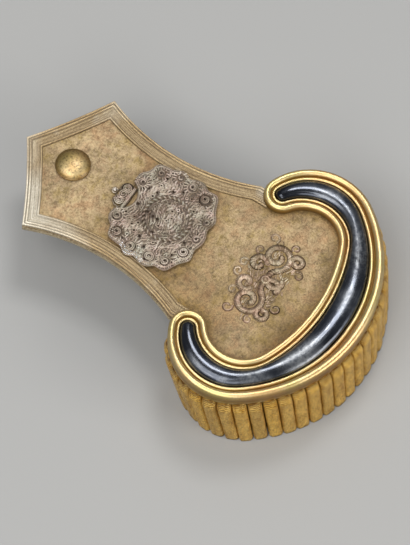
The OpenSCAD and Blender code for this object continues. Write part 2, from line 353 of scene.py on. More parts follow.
def makeBoard():
    # plain woven cloth glued over the board
    material, _, coords = startMaterial("boardCloth")
    x, y, _ = split(coords)
    weave = weaveOf(x, y, fullTurn / boardLook["threadPitch"])
    speck = weighted((weave, 0.15), (noise(coords, 1400.0, roughness=0.7), 0.85))
    stains = ramp(noise(coords, 45.0), (0.3, 0.78), (0.7, 1.08))
    return dressed(material, {
        "Base Color": dyed(ramp(speck, *boardLook["linen"]), stains),
        "Roughness": 0.8,
        "Normal": bump(speck, 0.5, 0.0004),
    })


def makeGilt(name, pale, deep, patina, smooth, rough, speckle):
    # gilding: bright on the beads, darker and redder where an attribute is high that holds patina in the
    # hollows and, on the button, painted shade on one side
    material, tree, coords = startMaterial(name)
    fine = noise(coords, 1100.0)
    ripple = noise(coords, 150.0, 2.0, 0.5)
    worn = swayed(attribute(tree, "hollow"), noise(coords, 60.0, roughness=0.55), 0.55, clamp=True)
    colour = ramp(worn, (0.0, pale), (0.35, deep), (0.95, patina))
    colour = hued(colour, moved(coords, 0.2, 0.5), 40.0, (255, 240, 230), (244, 248, 228), spread=0.12)
    return dressed(material, {
        "Base Color": dyed(colour, ramp(fine, (0.32, 1.0 - speckle), (0.50, 1.0))),
        "Metallic": 1.0,
        "Roughness": fitted(worn, rough - smooth, smooth),
        "Coat Weight": 0.4,
        "Coat Roughness": 0.26,
        "Normal": bump(fine, speckle, 0.0003, bump(ripple, 0.06, 0.001)),
    })


steelPlan = {
    "dark": (34, 36, 41),
    "blue": (66, 70, 78),
    "grey": (146, 149, 152),
    # rubbed and dulled places: x and y in metres from the epaulette's middle, reach
    "rubbed": [(-0.023, -0.066, 0.014), (0.060, -0.036, 0.006), (-0.056, -0.028, 0.009)],
    "dulled": [(0.036, -0.0605, 0.021)],
}


def nearPlaces(coords, ragged, places):
    # 1 in the middle of each place, 0 outside, with a ragged border
    flat = vectorCalc("MULTIPLY", coords, (1.0, 1.0, 0.0))
    near = 0.0
    for x, y, reach in places:
        away = calc("DIVIDE", vectorCalc("DISTANCE", flat, (x, y, 0.0)), reach)
        near = calc("MAXIMUM", ramp(swayed(away, ragged, 1.1), (0.35, 1), (1.0, 0)), near)
    return near


def makeSteel():
    # blued steel: almost black, with hairlines along it, dull and grey where it is rubbed
    material, tree, coords = startMaterial("bluedSteel")
    uv = put(tree, "ShaderNodeUVMap", uv_map="UVMap")
    lines = noise(vectorCalc("MULTIPLY", uv, (90.0, 1800.0, 1.0)), 1.0)
    broad = noise(coords, 34.0, 4.0)
    fine = noise(coords, 600.0, 4.0, 0.7)
    rubbed = nearPlaces(coords, fine, steelPlan["rubbed"])
    worn = calc("MAXIMUM", ramp(broad, (0.58, 0), (0.72, 0.8)), rubbed)
    dull = nearPlaces(coords, fine, steelPlan["dulled"])
    colour = mixColour(ramp(broad, (0.30, 0), (0.60, 1)), steelPlan["dark"], steelPlan["blue"])
    greyed = [
        ramp(lines, (0.54, 0), (0.72, 0.40)),
        times(times(worn, ramp(fine, (0.38, 0.15), (0.62, 1))), 0.75),
        times(dull, ramp(fine, (0.42, 0), (0.66, 0.45))),
    ]
    for share in greyed:
        colour = mixColour(share, colour, steelPlan["grey"])
    return dressed(material, {
        "Base Color": colour,
        "Metallic": 1.0,
        "Roughness": fitted(dull, 0.26, fitted(worn, 0.18, fitted(broad, 0.20, 0.10))),
        "Coat Weight": 0.2,
        "Coat Roughness": 0.12,
        "Normal": bump(lines, 0.05, 0.0003),
    })


bullionPlan = {
    "coilPitch": 0.00095,
    # where on the speckle each colour stands, from painted shade in the hollows to painted glints
    "golds": [(0.37, (98, 58, 8)), (0.46, (184, 129, 32)), (0.54, (230, 175, 62)), (0.62, (255, 222, 132))],
    "palest": (255, 252, 226),
    "footShade": (58, 40, 18),
    "headShade": (92, 60, 20),
}


def makeBullion():
    # "coil" holds the turn round a bar, and the lengths along it from head and foot in metres
    material, tree, coords = startMaterial("coiledBullion")
    turn, fromHead, fromFoot = split(attribute(tree, "coil", "Vector"))
    grain = noise(coords, 1250.0, roughness=0.75)
    drift = noise(vectorCalc("MULTIPLY", coords, (1.0, 1.0, 0.35)), 420.0)
    turns = times(plus(fromHead, times(grain, 0.0006)), fullTurn / bullionPlan["coilPitch"])
    winding = wave(plus(turns, times(turn, fullTurn)))
    speck = weighted((winding, 0.26), (grain, 0.44), (drift, 0.30))
    tint = ramp(attribute(tree, "tint"), (0.0, 0.84), (0.5, 1.0), (1.0, bullionPlan["palest"]))
    colour = dyed(ramp(speck, *bullionPlan["golds"]), tint)
    # the feet are darker, as frayed dark coil ends and as painted shadow where they meet the floor, and the
    # heads carry painted shade from the gilt edge
    foot = minus(1.0, times(plus(fromFoot, fitted(grain, 0.0034, -0.0019)), 900.0), clamp=True)
    head = minus(1.0, times(fromHead, 450.0), clamp=True)
    colour = mixColour(times(foot, 0.75), colour, bullionPlan["footShade"])
    return dressed(material, {
        "Base Color": mixColour(times(head, 0.6), colour, bullionPlan["headShade"]),
        "Metallic": 0.45,
        "Roughness": fitted(grain, 0.25, 0.30),
        "Normal": bump(speck, 1.0, 0.0007),
    })


def makePurl(name, stops, speckle):
    # tarnished purl: "shine" says how bright a thread is, and also carries painted glints on the badge's
    # flutes and painted shade in its holes; "tint" sets neighbours apart
    material, tree, coords = startMaterial(name)
    grain = noise(coords, 1500.0, roughness=0.75)
    level = swayed(attribute(tree, "shine"), attribute(tree, "tint"), 0.24)
    level = swayed(level, noise(coords, 110.0), 0.7)
    level = swayed(level, grain, speckle, clamp=True)
    colour = ramp(level, *zip((0.0, 0.20, 0.45, 0.70, 1.0), stops))
    return dressed(material, {
        "Base Color": hued(colour, moved(coords, 0.4, 0.2), 170.0, (240, 248, 246), (255, 244, 249)),
        "Metallic": 0.75,
        "Roughness": fitted(level, -0.20, 0.52),
        "Normal": bump(grain, 0.4, 0.0002),
    })


def makeGround(name, colour):
    # plain dark cloth under embroidery and bars
    material, _, coords = startMaterial(name)
    grain = noise(coords, 1600.0, roughness=0.7)
    return dressed(material, {
        "Base Color": dyed(colour, ramp(grain, (0.3, 0.5), (0.7, 1.3))),
        "Roughness": 0.85,
        "Normal": bump(grain, 0.6, 0.0004),
    })


clothMaterial = makeCloth()
laceMaterial = makeLace()
boardMaterial = makeBoard()
giltMaterial = makeGilt("polishedGilt", (214, 189, 136), (184, 153, 92), (140, 108, 52), 0.40, 0.54, 0.20)
buttonMaterial = makeGilt("wornGilt", (200, 176, 128), (172, 145, 93), (136, 110, 66), 0.42, 0.60, 0.60)
tongueMaterial = makeGilt("dullBrass", (190, 160, 100), (160, 130, 76), (110, 84, 48), 0.42, 0.55, 0.15)
steelMaterial = makeSteel()
bullionMaterial = makeBullion()
tarnished = [(50, 39, 28), (124, 108, 90), (174, 160, 143), (201, 190, 177), (240, 242, 246)]
browned = [(66, 50, 34), (128, 107, 83), (181, 161, 136), (212, 195, 172), (238, 230, 218)]
purlMaterial = makePurl("tarnishedPurl", tarnished, 0.50)
scrollMaterial = makePurl("brownedPurl", browned, 0.8)
groundMaterial = makeGround("badgeGround", (112, 98, 86))
liningMaterial = makeGround("innerLining", (120, 98, 66))
print("materials made")


def saggedCircle(p, q, sag):
    # x, y and radius of the circle that sags inwards between two points
    p, q = Vector(p), Vector(q)
    chord = (q - p).length
    radius = (chord * chord / 4 + sag * sag) / (2 * sag)
    u = (q - p) / chord
    m = (p + q) / 2
    return (m.x + u.y * (radius - sag), m.y - u.x * (radius - sag), radius)


def crossing(a, b):
    # where two circles cross, to the right of the line between them
    d = Vector((b[0] - a[0], b[1] - a[1]))
    u = d.normalized()
    x = (a[2] ** 2 - b[2] ** 2 + d.length**2) / (2 * d.length)
    h = math.sqrt(a[2] ** 2 - x * x)
    return Vector((a[0] + u.x * x - u.y * h, a[1] + u.y * x + u.x * h))


def grown(c, e):
    return (c[0], c[1], c[2] + e)


def heading(p, q):
    return math.atan2(q[1] - p[1], q[0] - p[0])


def bent(c, p, q, steps):
    # points along a circle's shorter arc from p to q
    a = heading(c, p)
    turn = (heading(c, q) - a + 3 * math.pi) % fullTurn - math.pi
    r = math.hypot(p[0] - c[0], p[1] - c[1])
    return [polar(r, a + turn * i / steps, c[0], c[1]) for i in range(steps + 1)]


sideCircle = saggedCircle((plan["rootX"], 0), plan["corner"], plan["sideSag"])
endCircle = saggedCircle(plan["corner"], (0, plan["strapLength"]), plan["endSag"])


def strapHalf(e, sideSteps, endSteps):
    # the strap's right edge, moved in by e, from its root to its tip
    side, end = grown(sideCircle, e), grown(endCircle, e)
    corner = crossing(side, end)
    tip = (0.0, end[1] - math.sqrt(end[2] ** 2 - end[0] ** 2))
    root = (side[0] - math.sqrt(side[2] ** 2 - side[1] ** 2), 0.0)
    return bent(side, root, corner, sideSteps) + bent(end, corner, tip, endSteps)[1:]


def lobe(half, low, side):
    # the wide circle and the side circle of one of the crescent's outlines
    p, q = half - side, low - plan["wideY"]
    r = (p * p + q * q - side * side) / (2 * (q - side))
    return ((0.0, r - low, r), (half - side, -plan["wideY"], side))


outer = lobe(*plan["outer"])
inner = lobe(*plan["inner"])
horn = crossing(grown(inner[1], plan["hornRadius"]), grown(outer[1], -plan["hornRadius"]))
outerJoin = heading(outer[0], outer[1])
innerJoin = heading(inner[0], inner[1])
outerEnd = heading(outer[1], horn)
innerEnd = heading(inner[1], horn)
down = -math.pi / 2


def halfBand(steps):
    # stations of the crescent's right half: x, y, inward x, inward y, rim width
    middle, side, tip = plan["rimMiddle"], plan["rimSide"], plan["rimHorn"]
    rows = [
        (outer[0], down, outerJoin, 1, middle, side),
        (outer[1], outerJoin, outerEnd, 1, side, tip),
        ((horn.x, horn.y, plan["hornRadius"]), outerEnd, innerEnd + math.pi, 1, tip, tip),
        (inner[1], innerEnd, innerJoin, -1, tip, tip),
        (inner[0], innerJoin, down, -1, tip, tip),
    ]
    stations = []
    for (x, y, r), first, last, way, widthA, widthB in rows:
        for i in range(steps + (1 if last == down else 0)):
            t = i / steps
            a = first + (last - first) * t
            stations.append(polar(r, a, x, y) + polar(-way, a) + (widthA + (widthB - widthA) * t,))
    return stations


def flipped(s):
    return (-s[0], s[1], -s[2], s[3], s[4])


def inset(s, d):
    return (s[0] + s[2] * d, s[1] + s[3] * d)


def newMesh(name, verts, faces, material):
    mesh = bpy.data.meshes.new(name)
    mesh.from_pydata([tuple(v) for v in verts], [], faces)
    mesh.materials.append(material)
    return mesh


def storeValues(mesh, name, values):
    # a number or a vector at each point, for the materials and the node trees
    spatial = isinstance(values[0], (tuple, Vector))
    layer = mesh.attributes.new(name, "FLOAT_VECTOR" if spatial else "FLOAT", "POINT")
    if spatial:
        layer.data.foreach_set("vector", [v for spot in values for v in spot])
    else:
        layer.data.foreach_set("value", values)


def settle(piece, node):
    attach(piece, "root")
    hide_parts(node)


def newPiece(name, verts, faces, material, node, slotName, uvs=None, **values):
    mesh = newMesh(name, verts, faces, material)
    mesh.polygons.foreach_set("use_smooth", [True] * len(mesh.polygons))
    mesh.update()
    for label, numbers in values.items():
        storeValues(mesh, label, numbers)
    if uvs:
        layer = mesh.uv_layers.new(name="UVMap")
        for loop in mesh.loops:
            layer.data[loop.index].uv = uvs[loop.vertex_index]
    settle(newObject(name, mesh), node)


def sweptFaces(rings, count, closed=False, capped=True):
    # quads between neighbouring rings of points, and a cap at each end
    faces = []
    for i in range(rings if closed else rings - 1):
        a, b = i * count, (i + 1) % rings * count
        for j in range(count):
            k = (j + 1) % count
            faces.append((a + j, b + j, b + k, a + k))
    if capped and not closed:
        faces.append(tuple(range(count)))
        faces.append(tuple(reversed(range((rings - 1) * count, rings * count))))
    return faces


def turned(faces):
    return [tuple(reversed(f)) for f in faces]


def fan(first, count, pole):
    return [(first + i, first + (i + 1) % count, pole) for i in range(count)]


def gildedBand(name, band, profileOf, faces, node):
    # a profile of inset, height and hollowness, swept along the stations of a band
    points = [(s, row) for s in band for row in profileOf(s[4])]
    verts = [place(*inset(s, d), z) for s, (d, z, _) in points]
    newPiece(name, verts, faces, giltMaterial, node, "gilt_brass", hollow=[row[2] for _, row in points])


rimPlan = {
    "height": 2.4,
    "steps": 44,
    "faceZ": 0.05,
    # radii and middles of the beads, and places of the groove, as shares of the rim's width
    "bead": 0.31,
    "smallBead": 0.15,
    "smallMiddle": 0.85,
    "groove": (0.655, 0.70),
}


def rimProfile(w):
    # across the rim from outside in: wall, bead, groove, small bead; with how hollow each point lies
    low, h = rimPlan["faceZ"], rimPlan["height"]
    top, big, small = low + h, rimPlan["bead"] * w, rimPlan["smallBead"] * w
    points = [(0.0, low, 0.8), (0.0, low + h * 0.5, 0.65), (0.0, low + h * 0.85, 0.55)]
    for i in range(15):
        hollow = max(0.5 - 0.14 * i, 0.25 * (i - 11), 0.0)
        points.append(polar(big, math.pi * (1 - i / 14), big, top) + (hollow,))
    deep, shallow = rimPlan["groove"]
    points += [(deep * w, top - 0.40, 1.0), (shallow * w, top - 0.36, 0.85)]
    for i in range(8):
        spot = polar(small, math.radians(150) * (1 - i / 7), rimPlan["smallMiddle"] * w, top - 0.2)
        points.append(spot + (0.0 if 1 < i < 6 else 0.4,))
    return points + [(w, low + h * 0.5, 0.9), (w, low, 1.0)]


def makeRim():
    half = halfBand(rimPlan["steps"])
    band = half + [flipped(s) for s in reversed(half[1:-1])]
    faces = sweptFaces(len(band), len(rimProfile(1.0)), closed=True)
    gildedBand("crescentRim", band, rimProfile, faces, "crescent_frame")


skirtPlan = {
    "steps": 44,
    # inset, height, how hollow
    "profile": [
        (0.35, -0.02, 1.0), (0.12, -0.32, 0.8), (0.08, -0.82, 0.6), (0.10, -1.62, 0.55), (0.16, -2.08, 0.8),
        (0.10, -2.28, 0.4), (0.05, -2.53, 0.1), (0.10, -2.78, 0.4), (0.30, -2.98, 0.9), (4.20, -2.98, 1.0),
        (4.20, -0.02, 1.0),
    ],
}


def makeSkirt():
    half = halfBand(skirtPlan["steps"])[: 2 * skirtPlan["steps"] + 1]
    edge = [flipped(s) for s in reversed(half[1:])] + half
    profile = skirtPlan["profile"]
    faces = turned(sweptFaces(len(edge), len(profile)))
    gildedBand("crescentSkirt", edge, lambda w: profile, faces, "crescent_skirt")


inlayPlan = {
    "foot": 1.8,
    "rise": 3.2,
    "gap": 0.15,
    "faceZ": 0.05,
    "across": 20,
    "steps": 44,
    # how far v runs across the bar, in metres
    "vReach": 0.014,
}


def makeInlay():
    # a half-round bar between facing stations of the crescent's two outlines
    half = halfBand(inlayPlan["steps"])
    last = len(half) - 1
    ends = last // 2 - 3
    verts, uvs, along, before = [], [], 0.0, None
    count = inlayPlan["across"] + 3
    for i in range(-ends, ends + 1):
        pair = (half[abs(i)], half[last - abs(i)])
        if i < 0:
            pair = map(flipped, pair)
        p, q = (Vector(inset(s, s[4] + inlayPlan["gap"])) for s in pair)
        width = (q - p).length
        rise = min(inlayPlan["rise"], 0.45 * width)
        foot = min(inlayPlan["foot"], 0.6 * width)
        middle = (p + q) / 2
        along += 0.0 if before is None else (middle - before).length
        before = middle
        ring = [(p, 0.0)]
        for j in range(inlayPlan["across"] + 1):
            turn = math.pi * j / inlayPlan["across"]
            ring.append((p.lerp(q, (1 - math.cos(turn)) / 2), foot + rise * math.sin(turn)))
        ring.append((q, 0.0))
        for j, (spot, z) in enumerate(ring):
            verts.append(place(spot.x, spot.y, inlayPlan["faceZ"] + z))
            uvs.append((along * mm, j / count * inlayPlan["vReach"]))
    faces = sweptFaces(2 * ends + 1, count)
    newPiece("steelInlay", verts, faces, steelMaterial, "crescent_inlay", "blued_steel", uvs)


makeRim()
makeSkirt()
makeInlay()
print("crescent made")


lacePlan = {
    "sideSteps": 90,
    "endSteps": 40,
    "tailSteps": 6,
    "end": -7.5,
    "hornGap": 0.15,
    # distance from the edge, height above the cloth, painted light there: high on the ridges as painted
    # highlight, low in the grooves as painted shade
    "profile": [
        (0.00, 0.05, 0.2), (0.00, 0.75, 0.5), (0.18, 1.10, 0.9), (0.50, 1.22, 1.0), (0.82, 1.05, 0.8),
        (1.00, 0.66, 0.0), (1.20, 0.70, 0.2), (1.42, 1.02, 0.8), (1.75, 1.14, 1.0), (2.08, 1.00, 0.8),
        (2.28, 0.66, 0.0), (2.50, 0.78, 0.4), (2.95, 0.88, 0.5), (3.50, 0.90, 0.46), (4.05, 0.86, 0.42),
        (4.15, 0.80, 0.34), (4.25, 0.86, 0.42), (4.80, 0.86, 0.46), (5.35, 0.80, 0.42), (5.75, 0.66, 0.34),
        (5.90, 0.50, 0.10), (6.05, 0.62, 0.5), (6.35, 0.72, 0.85), (6.65, 0.58, 0.6), (6.85, 0.36, 0.3),
        (7.00, 0.05, 0.2),
    ],
}


def makeLaceBorder():
    reach = plan["hornRadius"] + lacePlan["hornGap"]
    profile, tailSteps = lacePlan["profile"], lacePlan["tailSteps"]
    lines = []
    for e, _, _ in profile:
        half = strapHalf(e, lacePlan["sideSteps"], lacePlan["endSteps"])
        rootX = half[0][0]
        # the lace runs on below the root until it meets the horn's rim
        dx = abs(rootX - horn.x)
        end = lacePlan["end"]
        if dx < reach:
            end = max(end, horn.y + math.sqrt(reach * reach - dx * dx))
        right = [(rootX, end * (1 - i / tailSteps)) for i in range(tailSteps)] + half
        lines.append(right + [(-x, y) for x, y in reversed(right[:-1])])
    middle = lines[len(lines) // 2]
    along = [0.0]
    for a, b in zip(middle, middle[1:]):
        along.append(along[-1] + math.dist(a, b) * mm)
    verts, uvs, ribs = [], [], []
    for i, u in enumerate(along):
        for line, (e, z, rib) in zip(lines, profile):
            verts.append(place(*line[i], z))
            uvs.append((u, e * mm))
            ribs.append(rib)
    faces = sweptFaces(len(along), len(profile))
    newPiece("laceBorder", verts, faces, laceMaterial, "edge_lace", "lace", uvs, rib=ribs)


makeLaceBorder()
print("lace made")


fieldPlan = {
    "spacing": 1.3,
    "crown": 0.55,
    "ripple": 0.10,
    "thickness": 0.95,
    "sunk": 0.12,
    "edgeZ": -0.25,
    "topZ": 0.5,
    # places on the cloth: middle x, middle y, reach in x, reach in y
    "padding": (0.0, -24.0, 36.0, 26.0),
    "badge": (0.0, 27.5, 25.5, 22.5),
    "scrolls": (0.0, -25.0, 21.0, 15.0),
    "darkPatches": [(-24.0, -4.0, 20.0, 22.0), (-16.0, -46.0, 16.0, 10.0)],
}
rimLine = [(way * s[0], s[1]) for way in (1, -1) for s in halfBand(12)]
laceLine = [(way * x, y) for way in (1, -1) for x, y in strapHalf(lacePlan["profile"][-1][0], 40, 20)]


def outlineOf(nodeName, height):
    # the outer loop of a node's flat top, in drawing millimetres
    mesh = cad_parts[nodeName].data
    spots = []
    for v in mesh.vertices:
        x, y, z = (c / mm for c in v.co)
        spots.append((round(x, 3), round(y - shiftY, 3)) if abs(z - height) < 0.01 else None)
    uses = {}
    for face in mesh.polygons:
        ring = [spots[i] for i in face.vertices]
        if None not in ring and face.normal.z >= 0.5:
            uses.update(dict.fromkeys(zip(ring, ring[1:] + ring[:1])))
    after = {a: b for a, b in uses if (b, a) not in uses}
    loops = []
    while after:
        start = next(iter(after))
        loop = [start]
        spot = after.pop(start)
        while spot != start and spot in after:
            loop.append(spot)
            spot = after.pop(spot)
        loops.append(loop)
    return max(loops, key=len)


def insideLoop(x, y, loop):
    hit = False
    for (x1, y1), (x2, y2) in zip(loop, loop[1:] + loop[:1]):
        if (y1 > y) != (y2 > y) and x < (x2 - x1) * (y - y1) / (y2 - y1) + x1:
            hit = not hit
    return hit


def within(spot, x, y):
    # how far x and y are from a place's middle, as shares of its reach
    middleX, middleY, reachX, reachY = spot
    return (x - middleX) / reachX, (y - middleY) / reachY


def fieldHeight(x, y):
    # the cloth is a little padded inside the crescent and ripples very slightly on the strap
    dx, dy = within(fieldPlan["padding"], x, y)
    swell = fieldPlan["crown"] * max(0.0, 1 - dx * dx - dy * dy) ** 0.8
    ripple = math.sin(x * 0.31 + 1.7 * math.sin(y * 0.11)) * math.sin(y * 0.23 + 1.1 * math.sin(x * 0.17))
    return swell + fieldPlan["ripple"] * ripple - fieldPlan["sunk"]


def clothTop(x, y):
    return min(fieldHeight(x, y), fieldPlan["topZ"])


def dirtAt(x, y):
    # painted shade against the rim, the lace and the embroidery, and darker patches at two given places
    def faded(distance, reach):
        return math.exp(-max(0.0, distance) / reach)

    rim = faded(nearest(x, y, rimLine), 4.0)
    lace = faded(nearest(x, y, laceLine), 1.6)
    dx, dy = within(fieldPlan["badge"], x, y)
    badge = faded((dx**4 + dy**4) ** 0.25 - 1.0, 1 / 9)
    scrolls = faded(math.hypot(*within(fieldPlan["scrolls"], x, y)) - 0.8, 1 / 4)
    darkPatches = sum(faded(math.hypot(*within(spot, x, y)) ** 2, 1) for spot in fieldPlan["darkPatches"])
    return min(1.0, rim + 0.4 * lace + 0.5 * badge + 0.3 * scrolls + 0.5 * darkPatches)


def makeField():
    loop = outlineOf("strap_cloth", plan["deck"])
    step = fieldPlan["spacing"]
    points = [Vector(p) for p in loop]
    edges = [(i, (i + 1) % len(loop)) for i in range(len(loop))]
    (minX, minY), (maxX, maxY) = ([pick(c) for c in zip(*loop)] for pick in (min, max))
    row, y = 0, minY + step
    while y < maxY:
        x = minX + (step / 2 if row % 2 else step)
        while x < maxX:
            if insideLoop(x, y, loop) and nearest(x, y, loop) > 0.6 * step:
                points.append(Vector((x, y)))
            x += step
        y += step * 0.87
        row += 1
    spots, _, faces, _, _, _ = delaunay_2d_cdt(points, edges, [], 1, 0.0001)
    count = len(spots)
    border = set(loop)
    top, bottom = [], []
    for x, y in spots:
        onEdge = (round(x, 3), round(y, 3)) in border
        top.append(place(x, y, fieldPlan["edgeZ"] if onEdge else clothTop(x, y)))
        bottom.append(place(x, y, -fieldPlan["thickness"]))
    up = []
    for f in faces:
        a, b, c = (spots[i] for i in f[:3])
        up.append(tuple(f) if (b - a).cross(c - a) > 0 else tuple(reversed(f)))
    used = dict.fromkeys(pair for f in up for pair in zip(f, f[1:] + f[:1]))
    walls = [(b, a, a + count, b + count) for a, b in used if (b, a) not in used]
    under = turned([tuple(i + count for i in f) for f in up])
    # painted shade and darker patches at each point, for the cloth's material
    dirt = [dirtAt(x, y) for x, y in spots] * 2
    shell = up + under + walls
    newPiece("clothField", top + bottom, shell, clothMaterial, "strap_cloth", "gold_cloth", dirt=dirt)


makeField()
print("field made")


def startTree(name, inputs):
    # a tree with a geometry, a material and some numbers going in
    tree = bpy.data.node_groups.new(name, "GeometryNodeTree")
    kinds = {int: "NodeSocketInt", float: "NodeSocketFloat"}
    tree.interface.new_socket("Geometry", in_out="INPUT", socket_type="NodeSocketGeometry")
    for label, value in inputs.items():
        socket = tree.interface.new_socket(label, in_out="INPUT", socket_type=kinds[type(value)])
        socket.default_value = value
    tree.interface.new_socket("Material", in_out="INPUT", socket_type="NodeSocketMaterial")
    tree.interface.new_socket("Geometry", in_out="OUTPUT", socket_type="NodeSocketGeometry")
    return tree, tree.nodes.new("NodeGroupInput").outputs


def endTree(tree, geometry, material):
    solid = put(tree, "GeometryNodeRealizeInstances", {"Geometry": geometry})
    finished = put(tree, "GeometryNodeSetMaterial", {"Geometry": solid, "Material": material})
    wire(tree.nodes.new("NodeGroupOutput").inputs[0], finished)
    return tree


def storeNamed(geometry, name, value, kind="FLOAT"):
    inputs = {"Geometry": geometry, "Name": name, "Value": value}
    return put(geometry.id_data, "GeometryNodeStoreNamedAttribute", inputs, data_type=kind)


def named(tree, name, kind="FLOAT"):
    return put(tree, "GeometryNodeInputNamedAttribute", {"Name": name}, "Attribute", data_type=kind)


def grow(name, verts, edges, values, tree, material):
    # runs the tree on points that carry the values, and keeps the result as a plain mesh
    mesh = bpy.data.meshes.new(name + "Source")
    mesh.from_pydata(verts, edges, [])
    for label, numbers in values.items():
        storeValues(mesh, label, numbers)
    source = newObject(mesh.name, mesh)
    modifier = source.modifiers.new(tree.name, "NODES")
    modifier.node_group = tree
    sockets = [s for s in tree.interface.items_tree if s.item_type == "SOCKET" and s.name == "Material"]
    modifier[sockets[0].identifier] = material
    graph = bpy.context.evaluated_depsgraph_get()
    graph.update()
    evaluated = source.evaluated_get(graph)
    mesh = bpy.data.meshes.new_from_object(evaluated, preserve_all_data_layers=True, depsgraph=graph)
    mesh.name = name
    bpy.data.objects.remove(source)
    return newObject(name, mesh)


fringePlan = {
    "count": 34,
    "radius": 3.1,
    "proud": 2.2,
    "back": 4.5,
    "wall": 1.4,
    "headZ": -3.1,
    "skirtZ": -3.0,
    "drop": 34.0,
    "lean": 6.0,
    "drawIn": 2.4,
    # how far feet stray sideways, and by how much bars are too short
    "loose": 0.25,
    "short": (0.05, 0.5),
    "end": math.radians(64),
    "seed": 7,
    "rings": 26,
    "sides": 20,
    "squareness": 4.2,
    "headHeight": 4.0,
    "headTuck": 1.8,
    "unevenScale": 190.0,
    "uneven": 0.3,
    "footZ": 0.04,
    # the wall's levels: height, share of the drawing in and the lean
    "levels": [(-3.1, 0.0), (-5.4, 0.0), (-20.0, 0.45), (-36.6, 1.0)],
    "wallSteps": 96,
}
pathOff = fringePlan["proud"] - fringePlan["radius"]
bellyLength = (outerJoin - down) * (outer[0][2] + pathOff)
sideLength = (fringePlan["end"] - outerJoin) * (outer[1][2] + pathOff)
pitch = 2 * (bellyLength + sideLength) / fringePlan["count"]


def pathPoint(s, off):
    # s along the fringe from its middle, off outside the gilt edge; also the outward direction
    t = abs(s)
    if t < bellyLength:
        (x, y, r), a = outer[0], down + t / (outer[0][2] + pathOff)
    else:
        (x, y, r), a = outer[1], outerJoin + (t - bellyLength) / (outer[1][2] + pathOff)
    way = -1 if s < 0 else 1
    px, py = polar(r + off, a, x, y)
    return (way * px, py), (way * math.cos(a), math.sin(a))


def makeBarTree():
    tree, given = startTree("bullionBars", {
        "Bar Radius": fringePlan["radius"] * mm,
        "Rings": fringePlan["rings"],
        "Sides": fringePlan["sides"],
        "Squareness": fringePlan["squareness"],
        "Head Height": fringePlan["headHeight"] * mm,
        "Head Tuck": fringePlan["headTuck"] * mm,
        "Seed": fringePlan["seed"],
    })
    position = put(tree, "GeometryNodeInputPosition")
    along = put(tree, "GeometryNodeSplineParameter")
    line = put(tree, "GeometryNodeCurvePrimitiveLine", {"Start": (0, 0, 0), "End": (0, 0, -1)})
    line = put(tree, "GeometryNodeResampleCurve", {"Curve": line, "Count": given["Rings"]})
    line = storeNamed(line, "downward", along)
    circle = {"Resolution": given["Sides"], "Radius": given["Bar Radius"]}
    section = storeNamed(put(tree, "GeometryNodeCurvePrimitiveCircle", circle), "around", along)
    # a circle pushed out towards its corners, so that the bars' fronts lie flatter
    sides = split(vectorCalc("NORMALIZE", position))
    powers = [calc("POWER", calc("ABSOLUTE", side), given["Squareness"]) for side in sides[:2]]
    push = calc("POWER", plus(*powers), calc("DIVIDE", -1.0, given["Squareness"]))
    squared = vectorCalc("SCALE", position, scale=push)
    section = put(tree, "GeometryNodeSetPosition", {"Geometry": section, "Position": squared})
    bar = put(tree, "GeometryNodeCurveToMesh", {"Curve": line, "Profile Curve": section, "Fill Caps": True})
    # one bar hangs from each point, turned and stretched to its own foot
    foot, outward = (named(tree, name, "FLOAT_VECTOR") for name in ("foot", "outward"))
    length = vectorCalc("LENGTH", foot)
    upward = vectorCalc("SCALE", foot, scale=-1.0)
    turn = put(tree, "FunctionNodeAlignRotationToVector", {"Vector": upward}, axis="Z")
    facing = {"Rotation": turn, "Vector": outward}
    turn = put(tree, "FunctionNodeAlignRotationToVector", facing, axis="X", pivot_axis="Z")
    tint = put(tree, "FunctionNodeRandomValue", {"Seed": given["Seed"]}, 1, data_type="FLOAT")
    heads = storeNamed(storeNamed(given["Geometry"], "tint", tint), "barLength", length)
    hung = {"Points": heads, "Instance": bar, "Rotation": turn, "Scale": joined(1.0, 1.0, length)}
    bars = put(tree, "GeometryNodeInstanceOnPoints", hung)
    bars = put(tree, "GeometryNodeRealizeInstances", {"Geometry": bars})
    downward, barLength = named(tree, "downward"), named(tree, "barLength")
    fromHead = times(downward, barLength)
    fromFoot = times(minus(1.0, downward), barLength)
    bars = storeNamed(bars, "coil", joined(named(tree, "around"), fromHead, fromFoot), "FLOAT_VECTOR")
    # each bar is a little uneven
    uneven = noise(position, fringePlan["unevenScale"], 2.0, 0.5, "Color")
    uneven = vectorCalc("SUBTRACT", uneven, (0.5, 0.5, 0.5))
    uneven = vectorCalc("SCALE", uneven, scale=fringePlan["uneven"] * mm)
    uneven = vectorCalc("MULTIPLY", uneven, (1.0, 1.0, 0.0))
    # the heads are drawn in under the gilt edge
    near = minus(1.0, calc("DIVIDE", fromHead, given["Head Height"]), clamp=True)
    drawn = vectorCalc("SCALE", outward, scale=times(near, times(given["Head Tuck"], -1.0)))
    offset = vectorCalc("ADD", uneven, drawn)
    bars = put(tree, "GeometryNodeSetPosition", {"Geometry": bars, "Offset": offset})
    # no foot reaches below the ground
    x, y, z = split(position)
    standing = joined(x, y, calc("MAXIMUM", z, fringePlan["footZ"] * mm))
    bars = put(tree, "GeometryNodeSetPosition", {"Geometry": bars, "Position": standing})
    level = calc("ABSOLUTE", split(put(tree, "GeometryNodeInputNormal"))["Z"])
    upright = put(tree, "FunctionNodeCompare", {0: level, 1: 0.8}, data_type="FLOAT", operation="LESS_THAN")
    bars = put(tree, "GeometryNodeSetShadeSmooth", {"Geometry": bars, "Shade Smooth": upright})
    return endTree(tree, bars, given["Material"])


